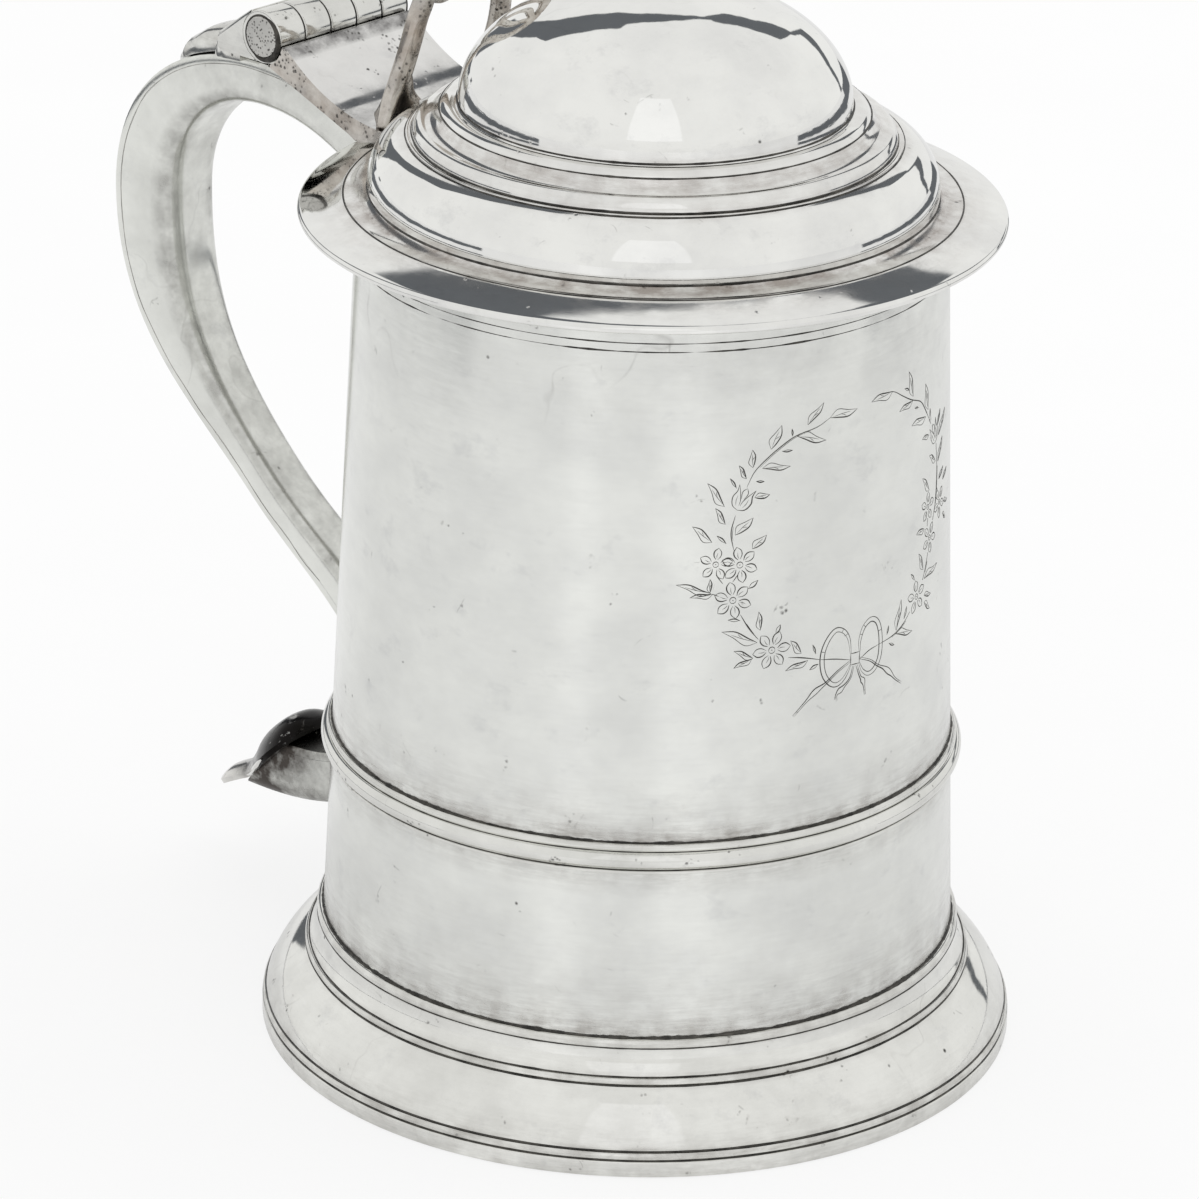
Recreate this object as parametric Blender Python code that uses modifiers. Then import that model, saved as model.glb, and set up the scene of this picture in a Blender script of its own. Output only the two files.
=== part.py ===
"""Silver quart tankard with a hinged, stepped and domed lid.

The barrel is a tapered tube with a soldered-in base plate, an applied girdle band and a spreading
foot on a rim wire. A hollow S-scroll handle, made of a U-channel and a back strip, carries a
five-knuckle hinge. The lid turns on the hinge pin and is lifted by an openwork thumbpiece.

Sizes are millimetres; MM turns them into Blender's metres. Points are given from the barrel's axis
at the level of the table: the handle lies towards -X, and the hinge pin runs along Y.
"""

import math

import bmesh
import bpy
from mathutils import Matrix, Vector

MM = 0.001

# General
SOLDER_GAP = 0.3
TURN_STEPS = 48
TUBE_STEPS = 24
SHARP_ANGLE = math.radians(38)

# Barrel
LIP_HEIGHT = 150.2
LIP_RADIUS = 50.0
BARREL_BASE_RADIUS = 55.2
BARREL_WALL = 0.8
LIP_ROUNDING = 0.4
GIRDLE_HEIGHT = 53.6
GIRDLE_WIDTH = 5.2
GIRDLE_PROJECTION = 2.0
GIRDLE_FILLET = 0.7
BASE_PLATE_THICKNESS = 0.9
BASE_PLATE_CROWN = 2.4

# Foot
FOOT_RADIUS = 66.0
FOOT_HEIGHT = 20.7
FOOT_SHEET = 0.9
FOOT_COLLAR = 1.1
FOOT_BEAD = 1.4
CAVETTO_HEIGHT = 4.7
CAVETTO_SPREAD = 1.5
LOWER_BEAD = 1.3
SPREAD_BULGE = 0.9
RIM_WIRE_HEIGHT = 4.3
RIM_WIRE_BEAD = 1.4
RIM_WIRE_WIDTH = 3.4

# Lid
FLANGE_RADIUS = 60.0
FLANGE_THICKNESS = 1.3
FLANGE_FALL = 2.0
FLANGE_LINE_RADIUS = 52.3
COVE_RISE = 1.1
LARGE_OVOLO_RADIUS = 48.2
LARGE_OVOLO_HEIGHT = 9.3
LARGE_OVOLO_STEP = 6.2
LARGE_OVOLO_BULGE = 2.2
SMALL_OVOLO_RADIUS = 40.9
SMALL_OVOLO_HEIGHT = 4.4
SMALL_OVOLO_STEP = 4.6
SMALL_OVOLO_BULGE = 1.0
DOME_RADIUS = 33.2
DOME_HEIGHT = 20.0
LID_FILLET = 0.8
LID_SHEET = 0.8
BEZEL_DEPTH = 5.7
BEZEL_WALL = 0.9
BEZEL_CLEARANCE = 0.7
BEZEL_TAPER = 1.3

# Hinge
HINGE_REACH = 78.3
HINGE_RISE = 14.6
KNUCKLE_COUNT = 5
KNUCKLE_LENGTH = 6.0
KNUCKLE_RADIUS = 4.75
PIN_RADIUS = 2.4
PIN_CLEARANCE = 0.15
PLUG_RADIUS = 3.7
PLUG_SEAT = 1.2
PLUG_PROUD = 0.5
OPEN_ANGLE = 120.0
PLATE_TOP_ANGLE = -6.0
PLATE_BOTTOM_ANGLE = -75.0
STOP_MARGIN = 4.0
PLATE_LID_THICKNESS = 1.6
PLATE_TOE = 5.5
PLATE_SAG = 1.5
BLOCK_LENGTH = 10.9
BLOCK_TAIL = 3.0
BLOCK_HEEL_ANGLE = 262.0
BLOCK_LIP = 0.55
SADDLE_THICKNESS = 2.6
SADDLE_WIDTH = 14.0
LOBE_LENGTH = 8.4
LOBE_WIDTH = 20.0
LOBE_THICKNESS = 5.4
DROP_LENGTH = 13.6
DROP_WIDTH = 12.0
DROP_TIP_WIDTH = 8.0
DROP_THICKNESS = 4.4

# Handle
HANDLE_REACH = 125.6
HANDLE_WIDEST_HEIGHT = 124.0
HANDLE_SHEET = 0.8
HANDLE_BACK_SHEET = 1.2
HANDLE_CORNER_SHARE = 0.33
ARM_DROP = 14.0
ARM_SLOPE = 23.0
ARM_DEPTH = 8.4
ARM_WIDTH = 15.0
CREST_SETBACK = 9.7
CREST_DEPTH = 9.0
WIDEST_DEPTH = 14.0
WIDEST_WIDTH = 14.0
GRIP_END_REACH = 90.0
GRIP_END_HEIGHT = 74.4
GRIP_END_SLOPE = 41.8
GRIP_END_DEPTH = 7.0
GRIP_END_WIDTH = 10.0
LOWER_JOINT_HEIGHT = 38.0
LOWER_JOINT_DEPTH = 8.2
LOWER_JOINT_WIDTH = 10.5
TAIL_REACH = 99.0
TAIL_HEIGHT = 21.2
TAIL_SLOPE = -4.0
TAIL_DEPTH = 13.2
TAIL_WIDTH = 14.0
TAIL_CUT_ANGLE = 44.0
TAIL_CUT_REACH = 87.4
TAIL_CUT_MARGIN = 1.7
SECTIONS_PER_STRETCH = 8
SCROLL_PULL = 0.41

# Terminal plate on the tail
TERMINAL_LENGTH = 28.2
TERMINAL_WIDTH = 18.0
TERMINAL_EDGE = 1.2
TERMINAL_RISE = 5.2
TERMINAL_HEAD = 12.4
TERMINAL_LIP = 3.0

# Thumbpiece
THUMB_HEIGHT = 47.0
THUMB_SWEEP = 8.0
THUMB_BELLY = 26.0
THUMB_HALF_WIDTH = 10.0
THUMB_BAR = 2.0
THUMB_SCROLL_BAR = 1.5
THUMB_RAIL_HEIGHT = 24.0
THUMB_FOOT_LENGTH = 4.6
THUMB_FOOT_HEIGHT = 1.6
THUMB_FOOT_SPREAD = 4.4
THUMB_LEG_STANCE = 9.5
THUMB_ROOT_HEIGHT = 5.0
THUMB_ROOT_LENGTH = 2.8
THUMB_ROOT_TOP = 2.8
THUMB_FOOT_FROM_OVOLO = 4.9

# Heights and places that follow from the sizes above
AXIS_OFFSET = (HANDLE_REACH - FOOT_RADIUS) / 2
FLANGE_UNDERSIDE = LIP_HEIGHT + SOLDER_GAP
FLANGE_TOP = FLANGE_UNDERSIDE + FLANGE_THICKNESS
HINGE_HEIGHT = LIP_HEIGHT + HINGE_RISE
HINGE_HALF_LENGTH = (KNUCKLE_COUNT * KNUCKLE_LENGTH + (KNUCKLE_COUNT - 1) * SOLDER_GAP) / 2
SEAT_RADIUS = KNUCKLE_RADIUS + SOLDER_GAP


def wall_radius(height):
    """Outer radius of the tapered barrel at a height."""
    taper = (BARREL_BASE_RADIUS - LIP_RADIUS) / (LIP_HEIGHT - FOOT_HEIGHT)
    return LIP_RADIUS + taper * (LIP_HEIGHT - height)


def arc(start, end, bulge, steps):
    """Points after start up to end on a circular arc; a positive bulge lies to the left of the way."""
    start, end = Vector(start), Vector(end)
    chord = end - start
    side = Vector((-chord.y, chord.x)).normalized()
    radius = (chord.length ** 2 / 4 + bulge ** 2) / (2 * abs(bulge))
    centre = (start + end) / 2 + side * (bulge - math.copysign(radius, bulge))
    first = start - centre
    turn = 2 * math.asin(min(1.0, chord.length / 2 / radius)) * -math.copysign(1, bulge)
    points = []
    for step in range(1, steps + 1):
        points.append(tuple(centre + Matrix.Rotation(turn * step / steps, 2) @ first))
    return points


def polar(radius, degrees):
    """A point on a circle about the origin."""
    return radius * math.cos(math.radians(degrees)), radius * math.sin(math.radians(degrees))


def bezier(start, start_pull, end_pull, end, steps, with_end=False):
    """Points on a cubic curve between two ends, each with its pull point."""
    points = []
    for step in range(steps + with_end):
        t = step / steps
        s = 1 - t
        weights = (s ** 3, 3 * s * s * t, 3 * s * t * t, t ** 3)
        corners = (start, start_pull, end_pull, end)
        points.append(sum((Vector(p) * w for p, w in zip(corners, weights)), Vector((0, 0))))
    return points


def smooth(start, end, t):
    """Eased value between start and end."""
    return start + (end - start) * t * t * (3 - 2 * t)


def between(line, x):
    """Height of a line of (x, height) points, the last stretch that spans x, or its end's height."""
    height = line[-1][1]
    for (x0, z0), (x1, z1) in zip(line, line[1:]):
        if x0 <= x <= x1:
            height = z0 + (z1 - z0) * (x - x0) / (x1 - x0)
    return height


def clear_scene():
    """Remove every object, so the script starts from an empty scene."""
    for item in list(bpy.data.objects):
        bpy.data.objects.remove(item, do_unlink=True)


def make_collection(name):
    """A collection linked to the scene."""
    collection = bpy.data.collections.new(name)
    bpy.context.scene.collection.children.link(collection)
    return collection


def make_empty(name, location, parent=None):
    """A named empty that carries other objects."""
    empty = bpy.data.objects.new(name, None)
    empty.location = Vector(location) * MM
    empty.parent = parent
    PARTS.objects.link(empty)
    return empty


def silver(name, color=(0.82, 0.81, 0.78), roughness=0.22):
    """A silver material with its own tone and polish."""
    material = bpy.data.materials.new(name)
    material.use_nodes = True
    shader = material.node_tree.nodes["Principled BSDF"]
    shader.inputs["Base Color"].default_value = (*color, 1)
    shader.inputs["Metallic"].default_value = 1
    shader.inputs["Roughness"].default_value = roughness
    return material


def place(name, mesh, parent, material=None):
    """Put a mesh in the scene as a named piece; its points are measured from the barrel's axis."""
    piece = bpy.data.objects.new(name, mesh)
    PARTS.objects.link(piece)
    piece.parent = parent
    piece.location = AXIS.matrix_world.translation - parent.matrix_world.translation
    mesh.materials.append(material or silver(name + "_silver"))
    return piece


def finish_mesh(bm, mesh):
    """Store a closed bmesh with its faces out, smooth between its sharp edges."""
    bmesh.ops.recalc_face_normals(bm, faces=bm.faces)
    if bm.calc_volume(signed=True) < 0:
        bmesh.ops.reverse_faces(bm, faces=bm.faces)
    bm.to_mesh(mesh)
    bm.free()
    mesh.shade_smooth()
    mesh.set_sharp_from_angle(angle=SHARP_ANGLE)
    return mesh


def turned(name, profile, parent, closed=True, steps=TURN_STEPS, material=None):
    """A piece turned about its own Z from a profile of (radius, height) points, outside first."""
    count = len(profile)
    edges = [(i, i + 1) for i in range(count - 1)]
    if closed:
        edges.append((count - 1, 0))
    mesh = bpy.data.meshes.new(name)
    mesh.from_pydata([(r * MM, 0, z * MM) for r, z in profile], edges, [])
    piece = place(name, mesh, parent, material)
    screw = piece.modifiers.new("turn", "SCREW")
    screw.steps = screw.render_steps = steps
    screw.use_merge_vertices = True
    screw.merge_threshold = 0.00001
    screw.use_smooth_shade = True
    return piece


def turned_on_pin(name, profile, parent, offset):
    """A piece turned about the hinge pin; its profile's heights run along Y from the offset."""
    piece = turned(name, profile, parent, steps=TUBE_STEPS)
    piece.rotation_euler = (-math.pi / 2, 0, 0)
    piece.location += Vector((-HINGE_REACH, offset, HINGE_HEIGHT)) * MM
    return piece


def loft(name, rings, parent, material=None):
    """A closed skin over rings of equal point counts, capped at both ends."""
    bm = bmesh.new()
    loops = [[bm.verts.new(point) for point in ring] for ring in rings]
    count = len(rings[0])
    for near, far in zip(loops, loops[1:]):
        for i in range(count):
            j = (i + 1) % count
            bm.faces.new((near[i], near[j], far[j], far[i]))
    bm.faces.new(loops[0])
    bm.faces.new(reversed(loops[-1]))
    bmesh.ops.scale(bm, vec=(MM, MM, MM), verts=bm.verts)
    return place(name, finish_mesh(bm, bpy.data.meshes.new(name)), parent, material)


def side_slab(outline, half_width):
    """A mesh cut across the hinge: an outline of (x, z) points, as thick as the hinge is long."""
    curve = bpy.data.curves.new("side_outline", "CURVE")
    curve.dimensions = "2D"
    curve.fill_mode = "BOTH"
    curve.extrude = half_width * MM
    spline = curve.splines.new("POLY")
    spline.points.add(len(outline) - 1)
    spline.use_cyclic_u = True
    for point, (x, z) in zip(spline.points, outline):
        point.co = (x * MM, z * MM, 0, 1)
    return curve_mesh(curve, Matrix.Rotation(math.pi / 2, 4, "X"))


def curve_mesh(curve, matrix=None):
    """The welded mesh of a curve, moved by a matrix; the curve itself is removed."""
    item = bpy.data.objects.new(curve.name, curve)
    bpy.context.scene.collection.objects.link(item)
    graph = bpy.context.evaluated_depsgraph_get()
    mesh = bpy.data.meshes.new_from_object(item.evaluated_get(graph))
    bpy.data.objects.remove(item)
    bpy.data.curves.remove(curve)
    bm = bmesh.new()
    bm.from_mesh(mesh)
    bmesh.ops.remove_doubles(bm, verts=bm.verts, dist=0.00001)
    bmesh.ops.transform(bm, matrix=matrix or Matrix(), verts=bm.verts)
    return finish_mesh(bm, mesh)


def tube_mesh(points, radius, cyclic=False):
    """A round bar along points, with filled ends."""
    curve = bpy.data.curves.new("bar", "CURVE")
    curve.dimensions = "3D"
    curve.bevel_depth = radius * MM
    curve.bevel_resolution = 2
    curve.use_fill_caps = not cyclic
    spline = curve.splines.new("POLY")
    spline.points.add(len(points) - 1)
    spline.use_cyclic_u = cyclic
    for point, place_mm in zip(spline.points, points):
        point.co = (*(value * MM for value in place_mm), 1)
    return curve_mesh(curve)


def make_cutter(piece):
    """Make an object a hidden cutter."""
    for collection in piece.users_collection:
        collection.objects.unlink(piece)
    CUTTERS.objects.link(piece)
    piece.hide_render = True
    piece.display_type = "WIRE"
    return piece


def combine(piece, other, operation):
    """Cut a piece with another object, or join the two."""
    boolean = piece.modifiers.new(operation.lower(), "BOOLEAN")
    boolean.operation = operation
    boolean.solver = "EXACT"
    boolean.object = make_cutter(other)


def frustum_cutter(name, sections, parent):
    """A solid of revolution that clears a turned piece: (radius, height) pairs, top first."""
    (top, bottom) = sections[0][1], sections[-1][1]
    return turned(name, [(0, top), *sections, (0, bottom)], parent, closed=False)


def make_barrel():
    """The body: a tapered tube open at both ends, its lip rounded over."""
    bottom = FOOT_HEIGHT - CAVETTO_HEIGHT
    outside = [(LIP_RADIUS - LIP_ROUNDING, LIP_HEIGHT), (LIP_RADIUS, LIP_HEIGHT - LIP_ROUNDING)]
    outside.append((wall_radius(bottom), bottom))
    inside = [(wall_radius(bottom) - BARREL_WALL, bottom)]
    inside.append((LIP_RADIUS - BARREL_WALL, LIP_HEIGHT))
    turned("barrel", outside + inside, AXIS)


def make_base_plate():
    """The bottom disc, crowned upwards, soldered inside the barrel's lower end."""
    edge_height = FOOT_HEIGHT - CAVETTO_HEIGHT
    radius = wall_radius(edge_height + BASE_PLATE_THICKNESS) - BARREL_WALL - SOLDER_GAP
    crown = BASE_PLATE_CROWN
    top = [(0, edge_height + BASE_PLATE_THICKNESS + crown)]
    top += arc(top[0], (radius, edge_height + BASE_PLATE_THICKNESS), crown / 4, 3)
    under = [(radius, edge_height)]
    under += arc(under[0], (0, edge_height + crown), -crown / 4, 3)
    turned("base_plate", top + under, AXIS, closed=False)


def make_girdle():
    """The applied band: a bead, a half-round and a lower fillet on the barrel."""
    top = GIRDLE_HEIGHT + GIRDLE_WIDTH / 2
    bottom = GIRDLE_HEIGHT - GIRDLE_WIDTH / 2
    seat = {height: wall_radius(height) + SOLDER_GAP for height in (top, bottom)}
    shelf = (seat[top] + GIRDLE_FILLET, top - GIRDLE_FILLET)
    fillet = (seat[bottom] + GIRDLE_FILLET, bottom + GIRDLE_FILLET)
    bulge = GIRDLE_PROJECTION - SOLDER_GAP - GIRDLE_FILLET
    profile = [(seat[top], top), *arc((seat[top], top), shelf, GIRDLE_FILLET / 4, 2)]
    profile += arc(shelf, fillet, bulge, 5)
    profile += [(seat[bottom] + GIRDLE_FILLET, bottom), (seat[bottom], bottom)]
    turned("girdle_band", profile, AXIS)


def make_foot():
    """The hollow spreading foot and the rim wire that it stands on."""
    collar = wall_radius(FOOT_HEIGHT) + SOLDER_GAP
    neck = wall_radius(FOOT_HEIGHT) + FOOT_COLLAR
    bead_bottom = FOOT_HEIGHT - FOOT_BEAD
    cavetto_bottom = bead_bottom - CAVETTO_HEIGHT
    spread_top = cavetto_bottom - LOWER_BEAD
    spread_foot = RIM_WIRE_HEIGHT + SOLDER_GAP
    step = neck + CAVETTO_SPREAD
    outside = [(collar, FOOT_HEIGHT)]
    outside += arc(outside[0], (neck, bead_bottom), FOOT_BEAD / 4, 3)
    outside += arc(outside[-1], (step, cavetto_bottom), -CAVETTO_SPREAD / 3, 4)
    outside += arc(outside[-1], (step + LOWER_BEAD / 3, spread_top), LOWER_BEAD / 3, 3)
    outside += arc(outside[-1], (FOOT_RADIUS - RIM_WIRE_BEAD / 2, spread_foot), SPREAD_BULGE, 5)
    inside = [(FOOT_RADIUS - RIM_WIRE_BEAD / 2 - FOOT_SHEET, spread_foot)]
    inner_step = max(step - FOOT_SHEET, wall_radius(spread_top) + SOLDER_GAP)
    inside += arc(inside[0], (inner_step, spread_top), -SPREAD_BULGE, 4)
    inside.append((wall_radius(cavetto_bottom) + SOLDER_GAP, cavetto_bottom))
    turned("foot_moulding", outside + inside, AXIS)

    band_top = RIM_WIRE_HEIGHT - RIM_WIRE_BEAD
    wire = [(FOOT_RADIUS - RIM_WIRE_BEAD / 2, RIM_WIRE_HEIGHT)]
    wire += arc(wire[0], (FOOT_RADIUS - RIM_WIRE_BEAD / 4, band_top), RIM_WIRE_BEAD / 4, 3)
    wire += [(FOOT_RADIUS, band_top), (FOOT_RADIUS, 0)]
    wire += [(FOOT_RADIUS - RIM_WIRE_WIDTH, 0), (FOOT_RADIUS - RIM_WIRE_WIDTH, RIM_WIRE_HEIGHT)]
    turned("foot_rim_wire", wire, AXIS)


def lid_steps():
    """Corner points of the lid's outer profile, from the dome's foot down to the flange line."""
    line = (FLANGE_LINE_RADIUS, FLANGE_TOP)
    ovolo_foot = (LARGE_OVOLO_RADIUS, FLANGE_TOP + COVE_RISE)
    ovolo_top = (LARGE_OVOLO_RADIUS - LARGE_OVOLO_STEP, ovolo_foot[1] + LARGE_OVOLO_HEIGHT)
    small_foot = (SMALL_OVOLO_RADIUS, ovolo_top[1] + LID_FILLET / 2)
    small_top = (SMALL_OVOLO_RADIUS - SMALL_OVOLO_STEP, small_foot[1] + SMALL_OVOLO_HEIGHT)
    dome_foot = (DOME_RADIUS, small_top[1] + 2 * LID_FILLET)
    return line, ovolo_foot, ovolo_top, small_foot, small_top, dome_foot


def make_lid_cover():
    """The raised lid: dome, two ovolos with fillets between, cove and wide falling flange."""
    line, ovolo_foot, ovolo_top, small_foot, small_top, dome_foot = lid_steps()
    outside = []
    for step in range(7):
        across, up = polar(1, 90 - 90 * step / 6)
        outside.append((DOME_RADIUS * across, dome_foot[1] + DOME_HEIGHT * up))
    outside[0] = (0, dome_foot[1] + DOME_HEIGHT)
    outside += [(DOME_RADIUS + LID_FILLET, small_top[1] + LID_FILLET), small_top]
    outside += arc(small_top, small_foot, SMALL_OVOLO_BULGE, 3)
    outside += arc(small_foot, ovolo_top, LID_FILLET / 4, 2)
    outside += arc(ovolo_top, ovolo_foot, LARGE_OVOLO_BULGE, 5)
    outside += arc(ovolo_foot, line, -COVE_RISE / 4, 2)
    rim = FLANGE_RADIUS - FLANGE_THICKNESS / 2
    rim_top, rim_underside = FLANGE_TOP - FLANGE_FALL, FLANGE_UNDERSIDE - FLANGE_FALL
    outside += [(rim, rim_top), (FLANGE_RADIUS, (rim_top + rim_underside) / 2), (rim, rim_underside)]
    outside.append((LIP_RADIUS + LID_SHEET, FLANGE_UNDERSIDE))
    inside = [(LARGE_OVOLO_RADIUS - LID_SHEET, FLANGE_UNDERSIDE)]
    inside.append((LARGE_OVOLO_RADIUS - LID_SHEET, ovolo_foot[1] + LARGE_OVOLO_HEIGHT / 3))
    inside.append((ovolo_top[0] - LID_SHEET, ovolo_top[1] - LID_SHEET))
    inside.append((small_foot[0] - LID_SHEET, small_foot[1]))
    inside.append((small_top[0] - LID_SHEET, small_top[1] - LID_SHEET))
    for step in range(5):
        across, up = polar(1, 90 * step / 4)
        inside.append(((DOME_RADIUS - LID_SHEET) * across, dome_foot[1] + (DOME_HEIGHT - LID_SHEET) * up))
    inside[-1] = (0, dome_foot[1] + DOME_HEIGHT - LID_SHEET)
    turned("lid_cover", outside + inside, LID_PIVOT, closed=False)


def make_lid_bezel():
    """The ring under the lid that drops inside the barrel's mouth, drawn in so that it swings clear."""
    top = LIP_HEIGHT
    outer = LIP_RADIUS - BARREL_WALL - BEZEL_CLEARANCE
    lower = outer - BEZEL_TAPER
    profile = [(outer, top), (lower, top - BEZEL_DEPTH), (lower - BEZEL_WALL, top - BEZEL_DEPTH)]
    profile.append((outer - BEZEL_WALL, top))
    turned("lid_bezel", profile, LID_PIVOT)


def plate_top_line():
    """The hinge plate's hollowed upper line, from the barrel of the hinge down to the lid."""
    x, z = polar(SEAT_RADIUS, PLATE_TOP_ANGLE)
    start = (x - HINGE_REACH, z + HINGE_HEIGHT)
    end = (-LARGE_OVOLO_RADIUS, FLANGE_TOP + COVE_RISE + PLATE_LID_THICKNESS)
    return [start, *arc(start, end, -PLATE_SAG, 6)]


def plate_height(x):
    """Height of the hinge plate's upper line at a place along X."""
    return between(plate_top_line(), x)


def make_hinge_plate():
    """The leaf soldered to the lid: hollow above, wedge-thick at the hinge, fitted round the ovolo."""
    outline = plate_top_line()
    flange_slope = FLANGE_FALL / (FLANGE_RADIUS - FLANGE_LINE_RADIUS)
    toe = FLANGE_LINE_RADIUS + PLATE_TOE / 2
    toe_height = FLANGE_TOP - flange_slope * (toe - FLANGE_LINE_RADIUS) + SOLDER_GAP
    outline.append((-LARGE_OVOLO_RADIUS, FLANGE_TOP + COVE_RISE + SOLDER_GAP))
    outline.append((-FLANGE_LINE_RADIUS, FLANGE_TOP + SOLDER_GAP))
    outline += [(-toe, toe_height), (-toe - PLATE_LID_THICKNESS, toe_height + PLATE_LID_THICKNESS)]
    for step in range(6):
        angle = PLATE_BOTTOM_ANGLE + (PLATE_TOP_ANGLE - PLATE_BOTTOM_ANGLE) * step / 6
        x, z = polar(SEAT_RADIUS, angle)
        outline.append((x - HINGE_REACH, z + HINGE_HEIGHT))
    plate = place("lid_hinge_plate", side_slab(outline, HINGE_HALF_LENGTH), LID_PIVOT)
    edge = LARGE_OVOLO_RADIUS + LARGE_OVOLO_BULGE / 2 + SOLDER_GAP
    above, below = HINGE_HEIGHT, FLANGE_TOP - FLANGE_FALL
    combine(plate, frustum_cutter("ovolo_clearance", [(edge, above), (edge, below)], AXIS), "DIFFERENCE")


def make_knuckles():
    """Five tubes on the pin: the odd ones belong to the handle, the even ones to the lid."""
    bore = PIN_RADIUS + PIN_CLEARANCE
    counterbore = PLUG_RADIUS + PIN_CLEARANCE
    for index in range(KNUCKLE_COUNT):
        start = -HINGE_HALF_LENGTH + index * (KNUCKLE_LENGTH + SOLDER_GAP)
        end = KNUCKLE_LENGTH
        profile = [(KNUCKLE_RADIUS, end), (KNUCKLE_RADIUS, 0), (bore, 0), (bore, end)]
        if index == 0:
            near_step = [(counterbore, 0), (counterbore, PLUG_SEAT), (bore, PLUG_SEAT)]
            profile[2:3] = near_step
        if index == KNUCKLE_COUNT - 1:
            far_step = [(bore, end - PLUG_SEAT), (counterbore, end - PLUG_SEAT), (counterbore, end)]
            profile[3:4] = far_step
        parent = LID_PIVOT if index % 2 else AXIS
        turned_on_pin(f"knuckle_{index + 1}", profile, parent, start)


def make_pin():
    """The hinge pin, and the two plugs that hide its ends."""
    inner = PLUG_SEAT + SOLDER_GAP
    length = 2 * HINGE_HALF_LENGTH - 2 * inner
    shaft = [(0, length), (PIN_RADIUS, length), (PIN_RADIUS, 0), (0, 0)]
    turned_on_pin("hinge_pin", shaft, AXIS, inner - HINGE_HALF_LENGTH)
    thick = PLUG_SEAT + PLUG_PROUD
    plug_tone = silver("plug_silver", (0.45, 0.44, 0.43), 0.55)
    for side, name in ((-1, "pin_plug_near"), (1, "pin_plug_far")):
        rounding = PLUG_PROUD / 2
        disc = [(0, thick), (PLUG_RADIUS - rounding, thick), (PLUG_RADIUS, thick - rounding)]
        disc += [(PLUG_RADIUS, 0), (0, 0)]
        if side < 0:
            disc = [(r, thick - z) for r, z in reversed(disc)]
        start = HINGE_HALF_LENGTH - PLUG_SEAT if side > 0 else -HINGE_HALF_LENGTH - PLUG_PROUD
        plug = turned_on_pin(name, disc, AXIS, start)
        plug.data.materials[0] = plug_tone


def make_hinge_block():
    """The fixed half of the hinge: a wedge with a seat for the knuckles, clear of the open plate."""
    lip_angle = PLATE_TOP_ANGLE + OPEN_ANGLE + STOP_MARGIN
    seat_steps = 10
    outline = []
    for step in range(seat_steps + 1):
        angle = lip_angle + (BLOCK_HEEL_ANGLE - lip_angle) * step / seat_steps
        outline.append(polar(SEAT_RADIUS, angle))
    bottom = outline[-1][1]
    lip_top = polar(SEAT_RADIUS + BLOCK_LIP, lip_angle)
    outline += [(-BLOCK_LENGTH, bottom), (-BLOCK_LENGTH, bottom + BLOCK_TAIL), lip_top]
    outline = [(x - HINGE_REACH, z + HINGE_HEIGHT) for x, z in outline]
    place("hinge_block", side_slab(outline, HINGE_HALF_LENGTH), AXIS)


def handle_sections():
    """Sections along the S-scroll: centre, direction, depth and width, from the lip to the tail."""
    arm_height = LIP_HEIGHT - ARM_DROP
    arm_turn = polar(1, 180 - ARM_SLOPE)
    crest_height = HINGE_HEIGHT - SEAT_RADIUS - SADDLE_THICKNESS - 2 * SOLDER_GAP - CREST_DEPTH / 2
    grip_turn = polar(1, -GRIP_END_SLOPE)
    tail_turn = polar(1, 180 + TAIL_SLOPE)
    joint_reach = wall_radius(LOWER_JOINT_HEIGHT) + SOLDER_GAP + LOWER_JOINT_DEPTH / 2
    arm_reach = wall_radius(arm_height) - ARM_DEPTH / 2
    stops = [
        ((-arm_reach, arm_height), arm_turn, ARM_DEPTH, ARM_WIDTH),
        ((-HINGE_REACH - CREST_SETBACK, crest_height), (-1, 0), CREST_DEPTH, ARM_WIDTH),
        ((WIDEST_DEPTH / 2 - HANDLE_REACH, HANDLE_WIDEST_HEIGHT), (0, -1), WIDEST_DEPTH, WIDEST_WIDTH),
        ((-GRIP_END_REACH, GRIP_END_HEIGHT), grip_turn, GRIP_END_DEPTH, GRIP_END_WIDTH),
        ((-joint_reach, LOWER_JOINT_HEIGHT), (0, -1), LOWER_JOINT_DEPTH, LOWER_JOINT_WIDTH),
        ((-TAIL_REACH, TAIL_HEIGHT), tail_turn, TAIL_DEPTH, TAIL_WIDTH),
    ]
    sections = []
    for near, far in zip(stops, stops[1:]):
        start, end = Vector(near[0]), Vector(far[0])
        pull = (end - start).length * SCROLL_PULL
        start_pull = start + Vector(near[1]) * pull
        end_pull = end - Vector(far[1]) * pull
        last = far is stops[-1]
        centres = bezier(start, start_pull, end_pull, end, SECTIONS_PER_STRETCH, with_end=last)
        for step, centre in enumerate(centres):
            t = step / SECTIONS_PER_STRETCH
            sections.append([centre, None, smooth(near[2], far[2], t), smooth(near[3], far[3], t)])
    for index, section in enumerate(sections):
        before = sections[max(index - 1, 0)][0]
        after = sections[min(index + 1, len(sections) - 1)][0]
        section[1] = (after - before).normalized()
    sections[0][1] = Vector(stops[0][1])
    sections[-1][1] = Vector(stops[-1][1])
    return sections


def across_handle(centre, way, points):
    """Place section points (across, towards the back) in the plane square to the way."""
    back = Vector((way.y, -way.x))
    ring = []
    for across, depth in points:
        spot = centre + back * depth
        ring.append((spot.x, across, spot.y))
    return ring


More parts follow.
